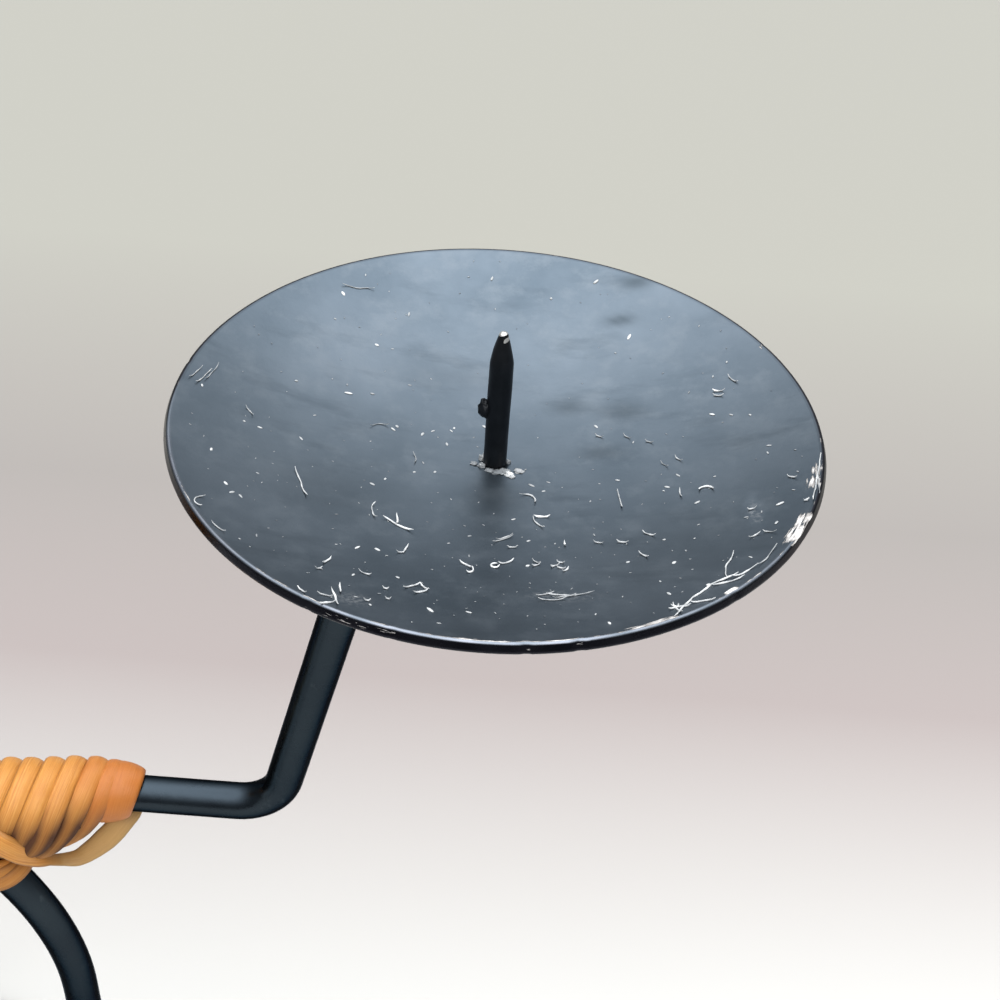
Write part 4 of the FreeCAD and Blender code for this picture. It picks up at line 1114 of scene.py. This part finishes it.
# %% [markdown]
# ### The shoulder sleeves
#
# The sleeve widens from the wrist to the shoulder like a cuff and sags towards the front. An inner strip,
# wound the other way, fills it, and the outer strip makes the ridges that the photograph shows: close
# together underneath, wider apart on top. A broad reddish band closes the wrist. The sleeve's radius and
# its shift down and forwards, in millimetres, are read at each share of the way from the wrist.

# %% Wind the sleeves
WRIST = 82.4 * MM
SLEEVE = 21.4 * MM
SAG = math.radians(50)
DEGREES_APART = 8
LEAN_TO_WRIST = Vector((0.2, 0, 0))
SLEEVE_RADIUS = ((0.0, 4.4), (0.10, 5.0), (0.19, 5.3), (0.31, 6.1), (0.43, 7.1), (0.55, 7.9), (0.65, 8.5),
                 (0.73, 8.7), (1.05, 8.6), (1.3, 6.2))
SLEEVE_SHIFT = ((0.0, -0.1), (0.10, -0.2), (0.19, -0.1), (0.31, 0.35), (0.43, 1.4), (0.55, 2.4), (0.65, 3.3),
                (0.73, 3.7), (0.92, 4.0), (1.3, 4.2))


def sleeve_strip(start, pitch, turns, inset, first, slopes, sweep, seed, hand=1):
    """One strip of a sleeve, in millimetres; sweep draws it towards the shoulder underneath."""
    strip = []
    first_step, last_step = (int(turn * 360 / DEGREES_APART) for turn in turns)
    for step in range(first_step, last_step + 1):
        turn = step * DEGREES_APART / 360
        angle = first + hand * 2 * math.pi * turn
        ray = Vector((0, -math.sin(angle), math.cos(angle)))
        nominal = WRIST - (start + pitch * turn) * MM + waver(turn * 4, seed + 5, 0.2 * MM)
        x = nominal
        for _ in range(5):
            share = (WRIST - x) / SLEEVE
            shift = between(share, *SLEEVE_SHIFT) * MM
            centre = Vector((0, ARM_Y - math.sin(SAG) * shift, ARM_Z - math.cos(SAG) * shift))
            radius = (between(share, *SLEEVE_RADIUS) - inset) * MM + waver(turn * 5, seed, 0.16 * MM)
            point = centre + ray * radius
            below = min(0.0, point.z - ARM_Z)
            x = nominal + between(turn, *slopes) * (point.z - ARM_Z) - sweep * below * below / MM
        out = (ray + LEAN_TO_WRIST).normalized()
        tan = between(share, (0.0, 1.0), (0.28, 0.9), (0.40, 0.2), (1.0, 0.0))
        # Painted shade: darker where the strip faces down, away from the wrist; less at the bottom and back.
        shade_and_grime = 1.1 * ease((0.86 - ray.z) / 0.75) * ease((share - 0.15) / 0.35)
        shade_and_grime *= (1 - 0.6 * ease((-0.3 - ray.z) / 0.5)) * (1 - 0.6 * ease((ray.y + 0.1) / 0.6))
        strip.append((Vector((x, point.y, point.z)), out, 1.0, tan, shade_and_grime))
    return strip


for side, sign in SIDES.items():
    under = sleeve_strip(start=0.6, pitch=3.1, turns=(2.7, 8.85), inset=1.45, first=2.6,
                         slopes=((0.0, -0.2), (7.0, -0.3)), sweep=0.0, seed=1.0 + sign, hand=-1)
    wound(side + "_sleeve_under", under, (3.4, 0.7, 0.12), side + "_sleeve_core", sign=sign)
    outer = sleeve_strip(start=0.4, pitch=3.5, turns=(1.2, 6.9), inset=0.45, first=3.3,
                         slopes=((0.0, 0.22), (1.0, 0.34), (2.0, 0.38), (3.0, 0.36), (7.0, 0.28)),
                         sweep=0.035, seed=3.0 + sign)
    wound(side + "_sleeve_wrap", outer, (3.9, 0.9, 0.58), side + "_sleeve_cane", sign=sign)
    band = sleeve_strip(start=2.5, pitch=0.4, turns=(0.0, 1.2), inset=0.30, first=3.3,
                        slopes=((0.0, 0.25), (2.0, 0.3)), sweep=0.02, seed=8.0 + sign)
    wound(side + "_wrist_band", band, (5.8, 0.8, 0.55), sign=sign)

# %% [markdown]
# ### The shoulder lashings
#
# Where the arm crosses the arch, the cane goes round both bars. Seen along the bars, each turn is two half
# circles joined by straight runs.

# %% Lash the shoulders
CROSS_Z = ARM_Z - SIDE_TOP + ARCH
CROSS_X = math.sqrt(ARCH ** 2 - CROSS_Z ** 2)
LASH_TILT = math.atan2(CROSS_X, CROSS_Z) / 2
LASH_LOW, LASH_HIGH = -7.0 * MM, 10.0 * MM
LASH_PITCH = 2.9 * MM
LASH_LIFT = 0.5 * MM
LASH_FIRST = 0.6
LASH_STEPS = 48


def lash_ends(along):
    """Middles of the arm and of the arch where a turn crosses them."""
    arm = Vector((CROSS_X + along / math.cos(LASH_TILT), ARM_Y, ARM_Z))
    angle = LASH_TILT + math.asin(math.sin(LASH_TILT) + along / ARCH)
    arch = Vector((ARCH * math.sin(angle), 0, SIDE_TOP - ARCH + ARCH * math.cos(angle)))
    return arm, arch


def lash_strip(seed):
    strip = []
    way = Vector((math.cos(LASH_TILT), 0, -math.sin(LASH_TILT)))
    for step in range(int((LASH_HIGH - LASH_LOW) / LASH_PITCH * LASH_STEPS) + 1):
        turn = step / LASH_STEPS
        arm, arch = lash_ends(LASH_LOW + LASH_PITCH * turn)
        across = (arm - arch).normalized()
        aside = across.cross(way).normalized()
        radius = ROD + LASH_LIFT + waver(turn * 5, seed, 0.1 * MM)
        run, bow = (arm - arch).length, math.pi * radius
        here = (LASH_FIRST + turn) % 1.0 * 2 * (run + bow)
        if here < bow:
            angle = here / radius
            out = aside * math.cos(angle) + across * math.sin(angle)
            point = arm + out * radius
        elif here < bow + run:
            out = -aside
            point = arm - across * (here - bow) + out * radius
        elif here < 2 * bow + run:
            angle = (here - bow - run) / radius
            out = -aside * math.cos(angle) - across * math.sin(angle)
            point = arch + out * radius
        else:
            out = aside
            point = arch + across * (here - 2 * bow - run) + out * radius
        strip.append((point, out, 1.0, 0.1, 0.0))
    return strip


for side, sign in SIDES.items():
    wound(side + "_shoulder_wrap", lash_strip(9 + sign), (2.95, 0.9, 0.3), side + "_shoulder_lash", sign=sign)

# %% [markdown]
# ### The rib wraps and the loose ends
#
# A few turns of cane run down the arch below the shoulder. They spread on the rib's front and meet on its
# outer side. From there a loose end bows up to the wrist of the sleeve, where it is tucked in. It is bound
# at both ends, so it is a tie and not a free cord.

# %% Wind the ribs
RIB_START, RIB_END = -0.45, 2.3
RIB_STEPS = 45
RIB_ANGLE = 58.1
RIB_SPREAD = ((-0.5, 9.2), (-0.25, 8.8), (0.75, 5.8), (1.75, 2.0), (2.75, 0.0))


def rib_strip():
    strip = []
    for step in range(int((RIB_END - RIB_START) * RIB_STEPS) + 1):
        turn = RIB_START + step / RIB_STEPS
        swing = 2 * math.pi * turn
        spread = between(turn, *RIB_SPREAD) * (1 - math.cos(swing)) / 2
        angle = math.radians(RIB_ANGLE + 0.5 * turn - spread)
        outward = Vector((math.sin(angle), 0, math.cos(angle)))
        out = outward * math.cos(swing) + Vector((0, 1, 0)) * math.sin(swing)
        radius = ROD + 0.55 * MM + (0.6 + 0.3 * turn) * MM * (1 + math.cos(swing))
        point = Vector((0, 0, SIDE_TOP - ARCH)) + outward * ARCH + out * radius
        # Painted shade: the later, lower turns are darker.
        strip.append((point, out, 1.0, 0.15, 0.1 + 0.3 * ease(turn)))
    return strip


for side, sign in SIDES.items():
    wound(side + "_rib_wrap", rib_strip(), (3.0, 0.8, 0.35), side + "_rib_binding", sign=sign)

# %% [markdown]
# The loose end goes through the listed knots, in millimetres from the middle at the arm's height. It lies
# flat on the sleeve's front, turns edge-on round the rib and bows up to the wrist. Its first three spans are
# tucked into the sleeve, so the share of the way along is counted from the fourth knot.

# %% Hang the loose ends
LOOSE_KNOTS = (
    (55.8, 2.6, 1.0), (57.0, -1.4, 1.6), (58.3, -3.8, 0.9), (59.9, -4.8, 0.0), (61.5, -5.4, -0.7),
    (63.1, -5.5, -1.9), (65.0, -4.8, -4.4), (66.9, -2.2, -8.5), (68.2, -0.5, -10.7), (69.6, 0.8, -12.1),
    (72.1, 1.5, -12.1), (74.7, 2.1, -10.3), (77.0, 2.8, -8.1), (78.6, 3.6, -6.4), (79.9, 4.6, -4.8),
    (81.0, 6.0, -4.1), (81.2, 8.0, -3.4))
LOOSE_WIDTH = ((-0.2, 1.15), (0.0, 1.5), (0.15, 1.5), (0.36, 0.7), (0.46, 0.8), (0.58, 1.15), (0.68, 1.4),
               (0.85, 1.4), (1.0, 1.1))
HIDDEN_SPANS = 3
SLEEVE_Y, SLEEVE_Z = 3.8 * MM, ARM_Z - 2.5 * MM
ON_RIB = Vector((0.70, 0.10, 0.65))
AT_WRIST = Vector((0.25, -0.62, 0.72))


def threaded(knots, steps=8):
    """Points of a smooth line through knots."""
    line, last = [], len(knots) - 1
    for start in range(last):
        p0, p1, p2, p3 = (knots[max(0, min(last, start + way))] for way in (-1, 0, 1, 2))
        for step in range(steps):
            t = step / steps
            line.append(0.5 * (2 * p1 + (p2 - p0) * t + (2 * p0 - 5 * p1 + 4 * p2 - p3) * t * t
                               + (3 * p1 - p0 - 3 * p2 + p3) * t ** 3))
    return line + [knots[-1]]


def loose_strip():
    line = threaded([Vector(spot) * MM + Vector((0, 0, ARM_Z)) for spot in LOOSE_KNOTS])
    spans = len(LOOSE_KNOTS) - 1
    last = len(line) - 1
    strip = []
    for step, point in enumerate(line):
        share = (spans * step / last - HIDDEN_SPANS) / (spans - HIDDEN_SPANS)
        way = (line[min(step + 1, last)] - line[max(step - 1, 0)]).normalized()
        out = Vector((0, point.y - SLEEVE_Y, point.z - SLEEVE_Z)).normalized() + LEAN_TO_WRIST
        out = out.lerp(ON_RIB, ease((share - 0.10) / 0.30))
        out = out.lerp(AT_WRIST, ease((share - 0.40) / 0.32))
        out = (out - way * out.dot(way)).normalized()
        tan = between(share, (0.0, 0.0), (0.3, 0.0), (0.45, -0.75), (1.0, -0.75))
        # Painted shade: the hanging part is a little darker at its edges.
        shade_and_grime = between(share, (0.3, 0.0), (0.45, 0.12), (1.0, 0.12))
        strip.append((point, out, between(share, *LOOSE_WIDTH), tan, shade_and_grime))
    return strip


for side, sign in SIDES.items():
    wound(side + "_loose_end", loose_strip(), (3.0, 0.6, 0.25), side + "_loose_strand", sign=sign)

# %% [markdown]
# ### The head and the neck
#
# The head is a wooden ball wound with cane from the crown to the neck, and the neck has a few turns of its
# own. A small peg closes the winding at the crown.

# %% Wind the head and the neck
HEAD_TURNS, HEAD_STEPS = 20, 72
HEAD_TILTS = ((0.0, 9.0), (HEAD_TURNS, 166.0))
HEAD_INSET = 0.63 * MM
NECK_TURNS, NECK_STEPS = 4, 48
NECK_INSET = 1.1 * MM
NECK_RADIUS = ROD + 0.6 * MM


def head_strip():
    strip = []
    for step in range(HEAD_TURNS * HEAD_STEPS + 1):
        turn = step / HEAD_STEPS
        tilt = math.radians(between(turn, *HEAD_TILTS))
        out = spoke(2 * math.pi * turn) * math.sin(tilt) + Vector((0, 0, math.cos(tilt)))
        radius = HEAD_RADIUS - HEAD_INSET + waver(turn * 4, 2.0, 0.15 * MM)
        strip.append((HEAD + out * radius, out, 1.0, 0.25 + waver(turn * 0.8, 6.0, 0.5), 0.0))
    return strip


def neck_strip():
    low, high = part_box("neck_binding")
    strip = []
    for step in range(NECK_TURNS * NECK_STEPS + 1):
        out = spoke(2 * math.pi * step / NECK_STEPS)
        share = step / (NECK_TURNS * NECK_STEPS)
        height = low.z + NECK_INSET + (high.z - low.z - 2 * NECK_INSET) * share
        strip.append((Vector((0, 0, height)) + out * NECK_RADIUS, out, 1.0, 0.2, 0.1))
    return strip


wound("head_wrap", head_strip(), (3.2, 0.9, 0.35), "head_cane")
wound("neck_wrap", neck_strip(), (2.4, 0.8, 0.3), "neck_binding")
core = frame["nodes"]["head_core"]
core.data.materials.clear()
core.data.materials.append(CORE_FINISH)

# %% Press in the crown peg
CROWN = HEAD.z + HEAD_RADIUS
PEG_STEPS = 36
PEG_FOOT = HEAD.z + half_width("head_core") - MM
PEG_HEAD = ((2.2, -0.6), (3.0, -0.3), (3.1, 0.1), (2.8, 0.5), (2.0, 0.85), (1.0, 1.05), (0.0, 1.1))
peg_section = [(0.0, PEG_FOOT), (PEG_HEAD[0][0] * MM, PEG_FOOT)]
peg_section += [(reach * MM, CROWN + height * MM) for reach, height in PEG_HEAD]
peg = joined("crown_peg", turned(peg_section, HEAD, PEG_STEPS, across=2, along=0, seed=0))
seat("crown_peg", peg, CORE_FINISH, "core_wood")

# %% [markdown]
# ## Floor and light
#
# The photograph has a plain pale ground that is nearly white close by and greyer far away, and soft light
# from above. The light is the room itself, bright overhead and dim at eye level: the far half of each dish
# mirrors the bright part, and so it looks lighter than the near half. One small lamp fills in from the near
# side.

# %% Lay the floor
FLOOR_HALF = 1.5


def ground_finish():
    ground = Finish("pale_ground")
    far = ground.add("MapRange", {"Value": ground.parts(ground.place)["Y"], "From Min": 0.0, "From Max": 0.5})
    # Painted light: the floor is nearly white in front of and under the figure and greyer behind it.
    base = ground.ramp(far, (0.08, (0.570, 0.560, 0.528)), (0.42, (0.284, 0.240, 0.226)),
                       (0.62, (0.240, 0.215, 0.197)), (1.0, (0.287, 0.274, 0.236)))
    base = ground.mix(ground.times(ground.noise(3.0, 2.0), 0.10), base, (0.27, 0.26, 0.245))
    return ground.close(base, 0.9)


floor_mesh = bpy.data.meshes.new("pale_floor")
corners = ((-1, -1), (1, -1), (1, 1), (-1, 1))
floor_mesh.from_pydata([(FLOOR_HALF * x, FLOOR_HALF * y, 0) for x, y in corners], [], [(0, 1, 2, 3)])
floor_mesh.materials.append(ground_finish())
pale_floor = put("pale_floor", floor_mesh)

# %% Light the room
FILL_SPOT = Vector((0.25, -0.55, 0.75))
FILL_TARGET = Vector((0.12, 0.05, 0.0))


def soft_room():
    """A room that is bright overhead and dimmer at the sides; past the floor, the camera sees it pale."""
    world = bpy.data.worlds.new("soft_room")
    world.use_nodes = True
    room = Wiring(world.node_tree)
    way = room.parts(room.add("TexCoord", out="Generated"))
    aside = room.math("POWER", way["X"], 2.0)
    sky = room.ramp(room.math("MULTIPLY_ADD", aside, -0.50, way["Z"]), (0.0, (0.046, 0.049, 0.052)),
                    (0.30, (0.100, 0.105, 0.110)), (0.63, (0.36, 0.377, 0.394)), (0.92, (0.98, 1.015, 1.05)))
    seen = room.mix(room.add("LightPath", out="Is Camera Ray"), sky, (0.165, 0.163, 0.152))
    background = room.nodes["Background"].inputs
    room.feed(background["Color"], seen)
    room.feed(background["Strength"], 4.8)
    return world


fill_data = bpy.data.lights.new("near_fill", "AREA")
fill_data.shape = "SQUARE"
fill_data.size = 0.5
fill_data.energy = 1.2
fill_data.color = (1.0, 0.99, 0.97)
near_fill = put("near_fill", fill_data)
near_fill.location = FILL_SPOT
near_fill.rotation_euler = (FILL_TARGET - FILL_SPOT).to_track_quat("-Z", "Y").to_euler()
bpy.context.scene.world = soft_room()
bpy.context.scene.view_settings.view_transform = "Standard"
print("room lit")
